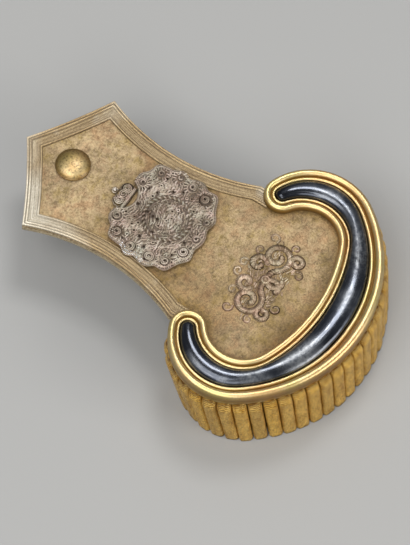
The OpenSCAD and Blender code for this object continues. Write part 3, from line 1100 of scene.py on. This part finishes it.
def makeFringe():
    rnd = random.Random(fringePlan["seed"])
    loose = fringePlan["loose"]
    heads, feet, outs = [], [], []
    for k in range(fringePlan["count"]):
        s = (k + 0.5 - fringePlan["count"] / 2) * pitch
        (x, y), out = pathPoint(s, pathOff)
        footS = s + rnd.uniform(-loose, loose)
        (footX, footY), _ = pathPoint(footS, pathOff - fringePlan["drawIn"] + rnd.uniform(-loose, loose))
        head = place(x, y, fringePlan["headZ"])
        footZ = fringePlan["skirtZ"] - fringePlan["drop"] + rnd.uniform(*fringePlan["short"])
        heads.append(head)
        feet.append(place(footX, footY - fringePlan["lean"], footZ) - head)
        outs.append((*out, 0.0))
    bars = grow("fringeBars", heads, [], {"foot": feet, "outward": outs}, makeBarTree(), bullionMaterial)
    settle(bars, "fringe")


def makeFringeWall():
    # the plain inner wall that the bars are sewn to
    count, levels = fringePlan["wallSteps"], fringePlan["levels"]
    half = fringePlan["count"] / 2 * pitch * 0.995
    section = [(-fringePlan["back"], *level) for level in levels]
    section += [(fringePlan["wall"] - fringePlan["back"], *level) for level in reversed(levels)]
    verts = []
    for i in range(count + 1):
        for off, z, share in section:
            (x, y), _ = pathPoint(half * (2 * i / count - 1), off - share * fringePlan["drawIn"])
            verts.append(place(x, y - share * fringePlan["lean"], z))
    newPiece("fringeWall", verts, sweptFaces(count + 1, len(section)), liningMaterial, "fringe", "bullion")


makeFringe()
makeFringeWall()
print("fringe made")


buttonPlan = {
    "centre": (0.0, 75.2),
    "radius": 8.0,
    "sides": 96,
    # painted shade on one side: how much, from how far past the middle, and towards which side
    "shadedSide": (0.36, 0.35, (0.83, 0.56)),
    # radius, height above the cloth, how hollow
    "profile": [
        (0.0, 3.80, 0.1), (1.0, 3.77, 0.08), (2.2, 3.66, 0.04), (3.6, 3.40, 0.0), (4.9, 3.00, 0.0),
        (6.0, 2.48, 0.1), (6.8, 1.96, 0.4), (7.3, 1.56, 0.75), (7.52, 1.34, 1.0), (7.70, 1.26, 0.8),
        (7.88, 1.10, 0.6), (7.98, 0.80, 0.8), (7.88, 0.45, 0.8), (7.60, 0.12, 1.0), (1.45, 0.10, 1.0),
        (1.45, -4.05, 0.6), (1.5, -4.10, 0.3), (1.5, -9.6, 0.3), (1.1, -10.05, 0.3), (0.0, -10.05, 0.3),
    ],
}


def makeButton():
    # turned about its axis, with painted shade darkening one side more than the other
    centreX, centreY = buttonPlan["centre"]
    sides = buttonPlan["sides"]
    shadedSide, shadeFrom, (wayX, wayY) = buttonPlan["shadedSide"]
    verts, hollows = [], []
    for r, z, hollow in buttonPlan["profile"]:
        for a in angles(sides if r else 1):
            x, y = polar(r, a)
            verts.append(place(centreX + x, centreY + y, z))
            # painted shade: points towards the given side are darkened on top of their patina
            share = shadeFrom + (wayX * x + wayY * y) / buttonPlan["radius"]
            hollows.append(hollow + shadedSide * max(0.0, share))
    body = sweptFaces(len(buttonPlan["profile"]) - 2, sides, capped=False)
    faces = fan(1, sides, 0) + [tuple(i + 1 for i in f) for f in body]
    faces += turned(fan(len(verts) - 1 - sides, sides, len(verts) - 1))
    newPiece("strapButton", verts, faces, buttonMaterial, "button", "button_gilt", hollow=hollows)


makeButton()
print("button made")


purlPlan = {"step": 0.36, "sides": 7, "ridge": 0.80, "seed": 11}


def makePurlTree():
    # sweeps a ridged coil along each thread, "thick" being its radius
    sizes = {"Step": purlPlan["step"] * mm, "Sides": purlPlan["sides"], "Ridge": purlPlan["ridge"]}
    tree, given = startTree("purlWork", sizes)
    threads = put(tree, "GeometryNodeMeshToCurve", {"Mesh": given["Geometry"]})
    spaced = {"Curve": threads, "Length": given["Step"]}
    threads = put(tree, "GeometryNodeResampleCurve", spaced, mode="LENGTH")
    odd = calc("MODULO", put(tree, "GeometryNodeInputIndex"), 2.0)
    slim = minus(1.0, times(odd, minus(1.0, given["Ridge"])))
    circle = put(tree, "GeometryNodeCurvePrimitiveCircle", {"Resolution": given["Sides"], "Radius": 1.0})
    scale = times(named(tree, "thick"), slim)
    swept = {"Curve": threads, "Profile Curve": circle, "Scale": scale, "Fill Caps": True}
    work = put(tree, "GeometryNodeCurveToMesh", swept)
    return endTree(tree, put(tree, "GeometryNodeSetShadeSmooth", {"Geometry": work}), given["Material"])


purlTree = makePurlTree()


def embroider(name, threads, node, material):
    # each thread: its points in drawing millimetres, radius, shine, whether it closes on itself
    rnd = random.Random(purlPlan["seed"])
    verts, edges = [], []
    values = {"thick": [], "shine": [], "tint": []}
    for points, radius, shine, closed in threads:
        first, count = len(verts), len(points)
        verts += [place(*p) for p in points]
        edges += [(first + i, first + (i + 1) % count) for i in range(count if closed else count - 1)]
        for label, value in (("thick", radius * mm), ("shine", shine), ("tint", rnd.random())):
            values[label] += [value] * count
    settle(grow(name, verts, edges, values, purlTree, material), node)
    print(name, "made of", len(threads), "threads")


def ringThread(x, y, z, r, radius, shine, count=14):
    return [polar(r, a, x, y) + (z,) for a in angles(count)], radius, shine, True


def spiralThread(x, y, height, r0, r1, a0, a1, radius, shine):
    # from radius r0 at angle a0 to radius r1 at a1, in degrees, at a height given by a function
    count = max(6, int(abs(a1 - a0) / 18))
    points = []
    for i in range(count + 1):
        t = i / count
        spot = polar(r0 + (r1 - r0) * t, math.radians(a0 + (a1 - a0) * t), x, y)
        points.append(spot + (height(*spot),))
    return points, radius, shine, False


def chipThread(x, y, z, a, length, radius, shine):
    # a short length of purl, sewn down at both ends
    dx, dy = polar(length / 2, a)
    return [(x - dx, y - dy, z), (x, y, z + 0.35 * radius), (x + dx, y + dy, z)], radius, shine, False


# a short upright thread; with a low shine it is a dark plug that paints the shade inside a hole
def holeShadePeg(x, y, low, high, radius, shine):
    return [(x, y, low), (x, y, high)], radius, shine, False


def cordThreads(points, radius, turns, shine):
    # two threads twisted round each other along a closed path
    threads = []
    count = len(points)
    for strand in (0, 1):
        line = []
        for i, (x, y, z) in enumerate(points):
            a = heading(points[i - 1], points[(i + 1) % count])
            side, lift = polar(radius, fullTurn * turns * i / count + math.pi * strand)
            line.append((x - side * math.sin(a), y + side * math.cos(a), z + lift))
        threads.append((line, radius, shine - 0.25 * strand, True))
    return threads


def chipRows(rnd, rows):
    # spots in close rows that are bent into arcs, with the row's direction at each
    (countX, stepX, looseX), (countY, stepY, looseY) = rows["x"], rows["y"]
    (bendX, perX, startX), (bendY, perY) = rows["bendX"], rows["bendY"]
    for row in range(-countY, countY + 1):
        for column in range(-countX, countX + 1):
            x = (column + 0.5 * (row % 2)) * stepX + rnd.uniform(-looseX, looseX)
            y = row * stepY + rnd.uniform(-looseY, looseY)
            x, y = x + bendX * math.sin(perX * y + startX), y + bendY * math.sin(perY * x)
            yield x, y, math.atan2(bendY * perY * math.cos(perY * x), 1.0)


badgePlan = {
    "middle": (0.0, 27.5),
    "half": (24.5, 21.5),
    "fullReach": 1.006,
    # how the edge waves in and out: depth, waves round it, start
    "waves": [(0.03, 14, math.pi / 2), (0.012, 5, 1), (0.006, 23, 0)],
    # the crown's notch and the middle disc: middle y, radius
    "notch": (23.0, 8.4),
    "disc": (-2.0, 12.0),
    # the boss in the disc: radius, height
    "boss": (7.5, 2.0),
    "top": 2.3,
    "around": 224,
    "domeRings": 26,
    # the plate's core and its edge: share of the size, height
    "core": (0.83, (0.05, 1.25)),
    "edge": [(0.965, 1.32), (1.0, 1.6), (0.995, 2.0), (0.97, 2.25)],
    # cords along the edge: share of the size, height, radius, shine
    "edgeCords": [(0.995, 1.75, 0.42, 0.30), (0.955, 2.35, 0.36, 0.42)],
    "edgeSteps": 280,
    # the part of the edge that is fluted with wire, as angles, and how far in and out the flutes reach
    "fluted": (2.2, 4.5),
    "flutes": 64,
    "fluteReach": (0.915, 0.99),
    "fluteRadius": 0.29,
    # where the painted highlight on the flutes is brightest: angle, spread, gain
    "glint": (2.95, 0.36, 0.60),
    "rosettes": 14,
    "rosetteScale": 0.84,
    "rosetteRadius": 2.75,
    "rosetteRise": 1.1,
    "rosetteChips": 15,
    # radii of the threads that lie as rings, as spirals and as chips, and the spirals' pitch
    "ringThread": 0.38,
    "coilThread": 0.34,
    "chipThread": 0.36,
    "coilPitch": 0.70,
    # twisted cords round the middle: radius, height above the top, thickness, turns
    "cords": [(10.5, 0.85, 0.46, 30), (8.05, 0.7, 0.32, 26)],
    "cordSteps": 300,
    "rings": 22,
    "holes": 32,
    "chip": 1.7,
    # rows of chips: count, step and looseness, then the bends of the rows
    "rows": {"x": (22, 1.7, 0.25), "y": (36, 0.62, 0.1), "bendX": (2.6, 0.27, 0.9), "bendY": (2.2, 0.30)},
    "seed": 5,
}


def badgeEdge(a, scale):
    k = scale * (abs(math.cos(a)) ** 3 + abs(math.sin(a)) ** 3) ** (-1 / 3)
    return badgePlan["half"][0] * k * math.cos(a), badgePlan["half"][1] * k * math.sin(a)


def badgeReach(a):
    # the plate's edge in the direction of a, as a scale, cut short by the notch for the crown
    reach = badgePlan["fullReach"]
    for depth, waves, start in badgePlan["waves"]:
        reach -= depth * (1 + math.sin(waves * a + start))
    x, y = badgeEdge(a, 1.0)
    far = math.hypot(x, y)
    notchY, notchR = badgePlan["notch"]
    across = notchY * x / far
    if y > 0 and abs(across) < notchR:
        reach = min(reach, (notchY * y / far - math.sqrt(notchR**2 - across**2)) / far)
    return reach


def fromDisc(x, y):
    return math.hypot(x, y - badgePlan["disc"][0])


def badgeHeight(x, y):
    # height of the padded ground above the deck, from the badge's middle
    bossR, bossH = badgePlan["boss"]
    d = fromDisc(x, y)
    if d < bossR:
        return badgePlan["top"] + 0.5 + bossH * math.sqrt(1 - (d / bossR) ** 2)
    return badgePlan["top"] + 0.5 * min(1.0, max(0.0, badgePlan["disc"][1] + 0.5 - d))


def inBadge(x, y, margin):
    a = math.atan2(y / badgePlan["half"][1], x / badgePlan["half"][0])
    return math.hypot(x, y) < math.hypot(*badgeEdge(a, badgeReach(a))) - margin


def clearOfCords(x, y, *gaps):
    return all(abs(fromDisc(x, y) - cord[0]) >= gap for cord, gap in zip(badgePlan["cords"], gaps))


def makeBadgeGround():
    # the dark padded plate, from its core up over the edge to the middle
    middleX, middleY = badgePlan["middle"]
    around, steps = badgePlan["around"], badgePlan["domeRings"]
    verts = []

    def ring(scaleOf, heightOf):
        for a in angles(around):
            x, y = badgeEdge(a, scaleOf(badgeReach(a)))
            verts.append(place(middleX + x, middleY + y, heightOf(x, y)))

    core, levels = badgePlan["core"]
    for z in levels:
        ring(lambda reach: min(core, reach - 0.01), lambda x, y: z)
    for scale, z in badgePlan["edge"]:
        ring(lambda reach: scale * min(reach, 1.0), lambda x, y: z)
    for j in range(1, steps):
        ring(lambda reach: 0.97 * reach * (1 - j / steps), badgeHeight)
    rings, last = len(verts) // around, len(verts)
    verts.append(place(middleX, middleY, badgeHeight(0, 0)))
    faces = turned(sweptFaces(rings, around, capped=False))
    faces += fan(last - around, around, last) + [tuple(reversed(range(around)))]
    newPiece("badgeGround", verts, faces, groundMaterial, "badge", "dark_purl")


def edgeThreads(rnd):
    # cords along the scalloped edge, and flutes across a part of it
    threads = []
    for scale, z, radius, shine in badgePlan["edgeCords"]:
        line = [badgeEdge(a, scale * badgeReach(a)) + (z,) for a in angles(badgePlan["edgeSteps"])]
        threads.append((line, radius, shine, True))
    first, last = badgePlan["fluted"]
    brightest, spread, gain = badgePlan["glint"]
    for i in range(badgePlan["flutes"]):
        a = first + (last - first) * i / (badgePlan["flutes"] - 1)
        inside, outside = (badgeEdge(a, scale * badgeReach(a)) for scale in badgePlan["fluteReach"])
        # painted highlight: the flutes grow brighter round the given angle
        glint = math.exp(-((a - brightest) / spread) ** 2)
        shine = 0.44 + gain * glint + rnd.uniform(-0.2, 0.2)
        points = [inside + (badgePlan["top"] + 0.28,), outside + (badgePlan["top"] - 0.1,)]
        threads.append((points, badgePlan["fluteRadius"], shine, False))
    return threads


def rosetteThreads(rnd):
    # each rosette is a dark ring round a paler spiral, with chips set round it
    threads, spots = [], []
    count, base = badgePlan["rosettes"], badgePlan["top"] + 0.1
    ring, coil, chip = (badgePlan[kind + "Thread"] for kind in ("ring", "coil", "chip"))
    for i in range(count):
        a = fullTurn * (i + 0.5 + rnd.uniform(-0.16, 0.16)) / count
        x, y = badgeEdge(a, badgePlan["rosetteScale"] * rnd.uniform(0.93, 1.02))
        if not inBadge(x, y, 1.8):
            continue
        r = badgePlan["rosetteRadius"] * rnd.uniform(0.66, 1.10)
        spots.append((x, y))

        def dome(px, py):
            away = math.hypot(px - x, py - y) / (1.25 * r)
            return base + badgePlan["rosetteRise"] * max(0.0, 1 - away**2)

        threads.append(ringThread(x, y, base + 0.1, r, ring, rnd.uniform(0.20, 0.44), 22))
        start = rnd.uniform(0, 360)
        outside, inside = r - ring - chip, 2 * chip
        end = start + 360 * (outside - inside) / badgePlan["coilPitch"]
        threads.append(spiralThread(x, y, dome, outside, inside, start, end, coil, rnd.uniform(0.32, 0.50)))
        # a dark plug in the middle paints the shade of the rosette's hole
        threads.append(holeShadePeg(x, y, base + 0.5, base + 0.9, 0.30, rnd.uniform(-0.6, 0.4)))
        for k in range(badgePlan["rosetteChips"]):
            a = math.radians(start + 360 * k / badgePlan["rosetteChips"])
            px, py = polar(r + 1.0, a, x, y)
            if inBadge(px, py, 0.5):
                a += rnd.uniform(-0.5, 0.5)
                threads.append(chipThread(px, py, base + 0.05, a, 1.5, chip, rnd.uniform(0.3, 0.54)))
    return threads, spots


def holeThreads(rnd, rosettes):
    # small rings with a dark plug in each that paints the shade of its hole, and dark plugs that paint the
    # shade of bare holes where spangles have come off
    threads, spots = [], []
    apart = badgePlan["rosetteRadius"] + 1.2
    while len(spots) < badgePlan["rings"]:
        x, y = rnd.uniform(-24, 24), rnd.uniform(-21, 21)
        if not (clearOfCords(x, y, 1.7, 1.3) and inBadge(x, y, 1.6)):
            continue
        if nearest(x, y, rosettes) > apart and nearest(x, y, spots) > 2.1:
            spots.append((x, y))
            z = badgeHeight(x, y)
            r, shine = rnd.uniform(0.6, 0.84), rnd.uniform(0.28, 0.5)
            threads.append(ringThread(x, y, z + 0.25, r, badgePlan["coilThread"], shine, 10))
            threads.append(holeShadePeg(x, y, z + 0.02, z + 0.26, 0.42, -0.6))
    while len(spots) < badgePlan["rings"] + badgePlan["holes"]:
        x, y = rnd.uniform(-22, 22), rnd.uniform(-19, 19)
        if inBadge(x, y, 1.8) and nearest(x, y, spots) > 2.4:
            spots.append((x, y))
            z = badgeHeight(x, y)
            threads.append(holeShadePeg(x, y, z, z + 0.45, rnd.uniform(0.5, 0.75), -0.8))
    return threads, spots


def makeBadgePurl():
    middleX, middleY = badgePlan["middle"]
    rnd = random.Random(badgePlan["seed"])
    threads = edgeThreads(rnd)
    rosettes, rosetteSpots = rosetteThreads(rnd)
    threads += rosettes
    for r, lift, radius, turns in badgePlan["cords"]:
        circle = [polar(r, a, 0.0, badgePlan["disc"][0]) for a in angles(badgePlan["cordSteps"])]
        path = [spot + (badgePlan["top"] + lift,) for spot in circle]
        threads += cordThreads(path, radius, turns, 0.52)
    holes, holeSpots = holeThreads(rnd, rosetteSpots)
    threads += holes
    # close rows of chips swirl over the rest
    for x, y, a in chipRows(rnd, badgePlan["rows"]):
        if not (inBadge(x, y, 1.1) and clearOfCords(x, y, 1.1, 0.7)):
            continue
        if nearest(x, y, rosetteSpots) < badgePlan["rosetteRadius"] + 0.9 or nearest(x, y, holeSpots) < 1.15:
            continue
        a += rnd.uniform(-0.45, 0.45)
        z = badgeHeight(x, y) + 0.12
        length, shine = badgePlan["chip"] * rnd.uniform(0.8, 1.1), rnd.uniform(0.35, 0.54)
        threads.append(chipThread(x, y, z, a, length, badgePlan["chipThread"], shine))
    shifted = [([(x + middleX, y + middleY, z) for x, y, z in points], *rest) for points, *rest in threads]
    embroider("badgePurl", shifted, "badge", purlMaterial)


crownPlan = {
    "foot": 44.5,
    "width": 13.0,
    "band": 2.4,
    # rows of the band: pitch, radius, height at the ends and in the middle, shine of each
    "rowPitch": 0.62,
    "rowRadius": 0.40,
    "rowZ": (0.9, 1.25),
    "rowShine": (0.12, 0.42, 0.34, 0.08),
    # the arches' padding: height at the foot, rise
    "dome": (0.4, 1.6),
    "coilThread": 0.34,
    "seed": 3,
}


def makeCrown():
    # rows of purl for the band, three padded arches and a ball
    rnd = random.Random(crownPlan["seed"])
    foot, half = crownPlan["foot"], crownPlan["width"] / 2 - 1
    endZ, middleZ = crownPlan["rowZ"]
    domeZ, rise = crownPlan["dome"]
    threads = []
    for row, shine in enumerate(crownPlan["rowShine"]):
        y = foot + 0.3 + crownPlan["rowPitch"] * row
        points = [(-half, y, endZ), (0, y, middleZ), (half, y, endZ)]
        threads.append((points, crownPlan["rowRadius"], shine, False))
    archR = crownPlan["width"] / 4
    archY = foot + crownPlan["band"] + 1.6
    for x, r in ((-archR, archR - 0.4), (archR, archR - 0.4), (0.0, archR)):

        def dome(px, py):
            away = math.hypot(px - x, py - archY) / (1.1 * r)
            return domeZ + rise * math.sqrt(max(0.0, 1 - min(1.0, away) ** 2))

        start = rnd.uniform(0, 360)
        coil = crownPlan["coilThread"]
        threads.append(ringThread(x, archY, 0.65, r, 0.42, 0.10, 22))
        threads.append(spiralThread(x, archY, dome, r - 0.72, 0.4, start, start + 900, coil, 0.34))
        # a dark plug in the middle paints the shade of the arch's hole
        threads.append(holeShadePeg(x, archY, 1.5, 2.05, 0.36, -0.5))
    ballY = foot + crownPlan["band"] + 6
    threads.append(ringThread(0, ballY, 0.5, 1.25, 0.36, 0.3, 16))
    threads.append(spiralThread(0, ballY, lambda x, y: 1.2, 0.7, 0.2, 0, 420, 0.38, 0.6))
    embroider("crownPurl", threads, "badge_crown", purlMaterial)


scrollPlan = {
    "middleY": -26.0,
    # padding and two outlines of each band: distance from its middle, height, radius, shine
    "strands": [(0.0, 0.30, 0.70, 0.35), (1.32, 0.10, 0.26, 0.08), (-1.32, 0.10, 0.26, 0.08)],
    # half of the pattern: middle x, middle y, first radius, last radius, first angle, last angle
    "scrolls": [
        (12.2, 1.6, 6.8, 2.0, -150, 290), (1.9, -4.4, 5.1, 2.4, 30, 290),
        (5.4, 6.9, 3.9, 1.6, -60, 250), (14.6, -7.4, 3.0, 1.5, 120, -200),
    ],
    # thin curls that fill the gaps between them
    "curls": [
        (19.6, 7.4, 2.3, 0.8, -130, 220), (9.4, -11.0, 2.1, 0.7, 60, -280), (2.4, 12.6, 2.0, 0.7, -40, 320),
        (11.6, 9.8, 1.8, 0.6, 200, -160), (20.2, -3.4, 1.7, 0.6, 160, -200),
    ],
    # satin stitches: pitch, radius, height at the ends and in the middle, length, slant in radians
    "stitch": 0.56,
    "stitchRadius": 0.33,
    "stitchZ": (0.30, 0.98),
    "bandWidth": 2.3,
    "slant": 0.6,
    # rings at both ends of a band: radius, height, shine, corners
    "ends": [(1.1, 0.55, 0.2, 16), (0.45, 1.0, 0.46, 10)],
    "endThread": 0.36,
    # the chips' field, as half width and half depth
    "field": (20.5, 9.8),
    "rows": {"x": (12, 1.9, 0.3), "y": (11, 0.92, 0.12), "bendX": (1.2, 0.5, 0.0), "bendY": (1.5, 0.35)},
    # rings in the middle: radius, shine
    "middleRings": [(2.3, 0.2), (1.6, 0.5), (0.9, 0.35), (0.3, 0.55)],
    "seed": 8,
}


def aboveCloth(lift):
    return lambda x, y: clothTop(x, y) + lift


def makeScrolls():
    rnd = random.Random(scrollPlan["seed"])
    middleY, stitchRadius = scrollPlan["middleY"], scrollPlan["stitchRadius"]
    half = []
    for x0, y0, r0, r1, a0, a1 in scrollPlan["scrolls"]:
        y0 += middleY
        for off, lift, radius, shine in scrollPlan["strands"]:
            half.append(spiralThread(x0, y0, aboveCloth(lift), r0 + off, r1 + off, a0, a1, radius, shine))
        # satin stitch, laid slantwise across the band
        count = int(abs(math.radians(a1 - a0)) * (r0 + r1) / 2 / scrollPlan["stitch"])
        for i in range(count + 1):
            a = math.radians(a0 + (a1 - a0) * i / count)
            x, y = polar(r0 + (r1 - r0) * i / count, a, x0, y0)
            dx, dy = polar(scrollPlan["bandWidth"] / 2, a + scrollPlan["slant"])
            endZ, middleZ = (clothTop(x, y) + lift for lift in scrollPlan["stitchZ"])
            points = [(x - dx, y - dy, endZ), (x, y, middleZ), (x + dx, y + dy, endZ)]
            half.append((points, stitchRadius, rnd.uniform(0.32, 0.52), False))
        for a, r in ((a0, r0), (a1, r1)):
            x, y = polar(r, math.radians(a), x0, y0)
            for size, lift, shine, corners in scrollPlan["ends"]:
                z = clothTop(x, y) + lift
                half.append(ringThread(x, y, z, size, scrollPlan["endThread"], shine, corners))
    for x0, y0, r0, r1, a0, a1 in scrollPlan["curls"]:
        y0 += middleY
        half.append(spiralThread(x0, y0, aboveCloth(0.15), r0, r1, a0, a1, 0.42, rnd.uniform(0.25, 0.38)))
        half.append(spiralThread(x0, y0, aboveCloth(0.08), r0 + 0.62, r1 + 0.5, a0, a1, 0.24, 0.15))
    threads = half + [([(-x, y, z) for x, y, z in points], *rest) for points, *rest in half]
    # chips of the ground keep clear of the wide threads and of the stitches' ends
    wide = []
    for points, radius, _, _ in threads:
        if radius > 0.4 or radius == stitchRadius:
            wide += [(x, y - middleY) for x, y, _ in points[:: 1 if radius > 0.4 else 2]]
    halfX, halfY = scrollPlan["field"]
    for x, y, a in chipRows(rnd, scrollPlan["rows"]):
        bare = math.sin(0.55 * x + 0.8) * math.sin(0.62 * y + 0.35 * x) > 0.62
        if bare or math.hypot(x / halfX, y / halfY) > 1 + rnd.uniform(-0.14, 0.05):
            continue
        if nearest(x, y, wide) < 0.95:
            continue
        y += middleY
        a += rnd.uniform(-0.5, 0.5)
        length, shine = rnd.uniform(1.5, 2.0), rnd.uniform(0.28, 0.55)
        threads.append(chipThread(x, y, clothTop(x, y) + 0.16, a, length, 0.33, shine))
    for r, shine in scrollPlan["middleRings"]:
        threads.append(ringThread(0, middleY, clothTop(0, middleY) + 1.4 - 0.35 * r, r, 0.38, shine, 20))
    embroider("scrollPurl", threads, "scroll_ornament", scrollMaterial)


makeBadgeGround()
makeBadgePurl()
makeCrown()
makeScrolls()
print("embroidery made")

for nodeName, material in (("strap_board", boardMaterial), ("fastening_tongue", tongueMaterial)):
    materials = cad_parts[nodeName].data.materials
    materials.clear()
    materials.append(material)

floorPlan = {"size": 3.0, "colour": (160, 160, 159)}


def makeFloor():
    material, _, _ = startMaterial("paleFloor")
    settings = {"Base Color": shade(floorPlan["colour"]), "Roughness": 0.85, "Specular IOR Level": 0.2}
    dressed(material, settings)
    size = floorPlan["size"]
    verts = [(-size, -size, 0), (size, -size, 0), (size, size, 0), (-size, size, 0)]
    newObject("floor", newMesh("floor", verts, [(0, 1, 2, 3)], material))


lightPlan = {
    "aim": (0, 0, 0.02),
    "up": (0, 0, 1),
    "sky": (0.80, 0.83, 0.88, 1.0),
    "skyStrength": 0.35,
    # name, position, width, height, watts, colour
    "boxes": [
        ("keyBox", (-0.74, 0.22, 1.40), 1.0, 1.0, 14.6, (1.0, 0.985, 0.96)),
        ("besideCamera", (-0.98, -0.50, 0.92), 0.8, 0.5, 4.0, (1.0, 0.98, 0.95)),
        ("ridgeBox", (0.57, 0.15, 1.38), 0.40, 0.40, 7.5, (1.0, 0.99, 0.97)),
        ("lowFront", (0.15, -1.30, 0.75), 0.8, 0.5, 9.0, (1.0, 0.97, 0.92)),
        ("topFill", (0.9, 0.5, 1.3), 1.0, 1.0, 1.5, (0.96, 0.98, 1.0)),
    ],
}


def makeLights():
    for name, position, width, height, watts, colour in lightPlan["boxes"]:
        data = bpy.data.lights.new(name, "AREA")
        data.shape = "RECTANGLE"
        data.size = width
        data.size_y = height
        data.energy = watts
        data.color = colour
        newObject(name, data).matrix_world = aimed(position, lightPlan["aim"], lightPlan["up"])
    world = bpy.data.worlds.new("studio")
    bpy.context.scene.world = world
    world.use_nodes = True
    background = world.node_tree.nodes["Background"]
    background.inputs["Color"].default_value = lightPlan["sky"]
    background.inputs["Strength"].default_value = lightPlan["skyStrength"]
    bpy.context.scene.view_settings.view_transform = "Standard"


makeFloor()
makeLights()
print("stage made")
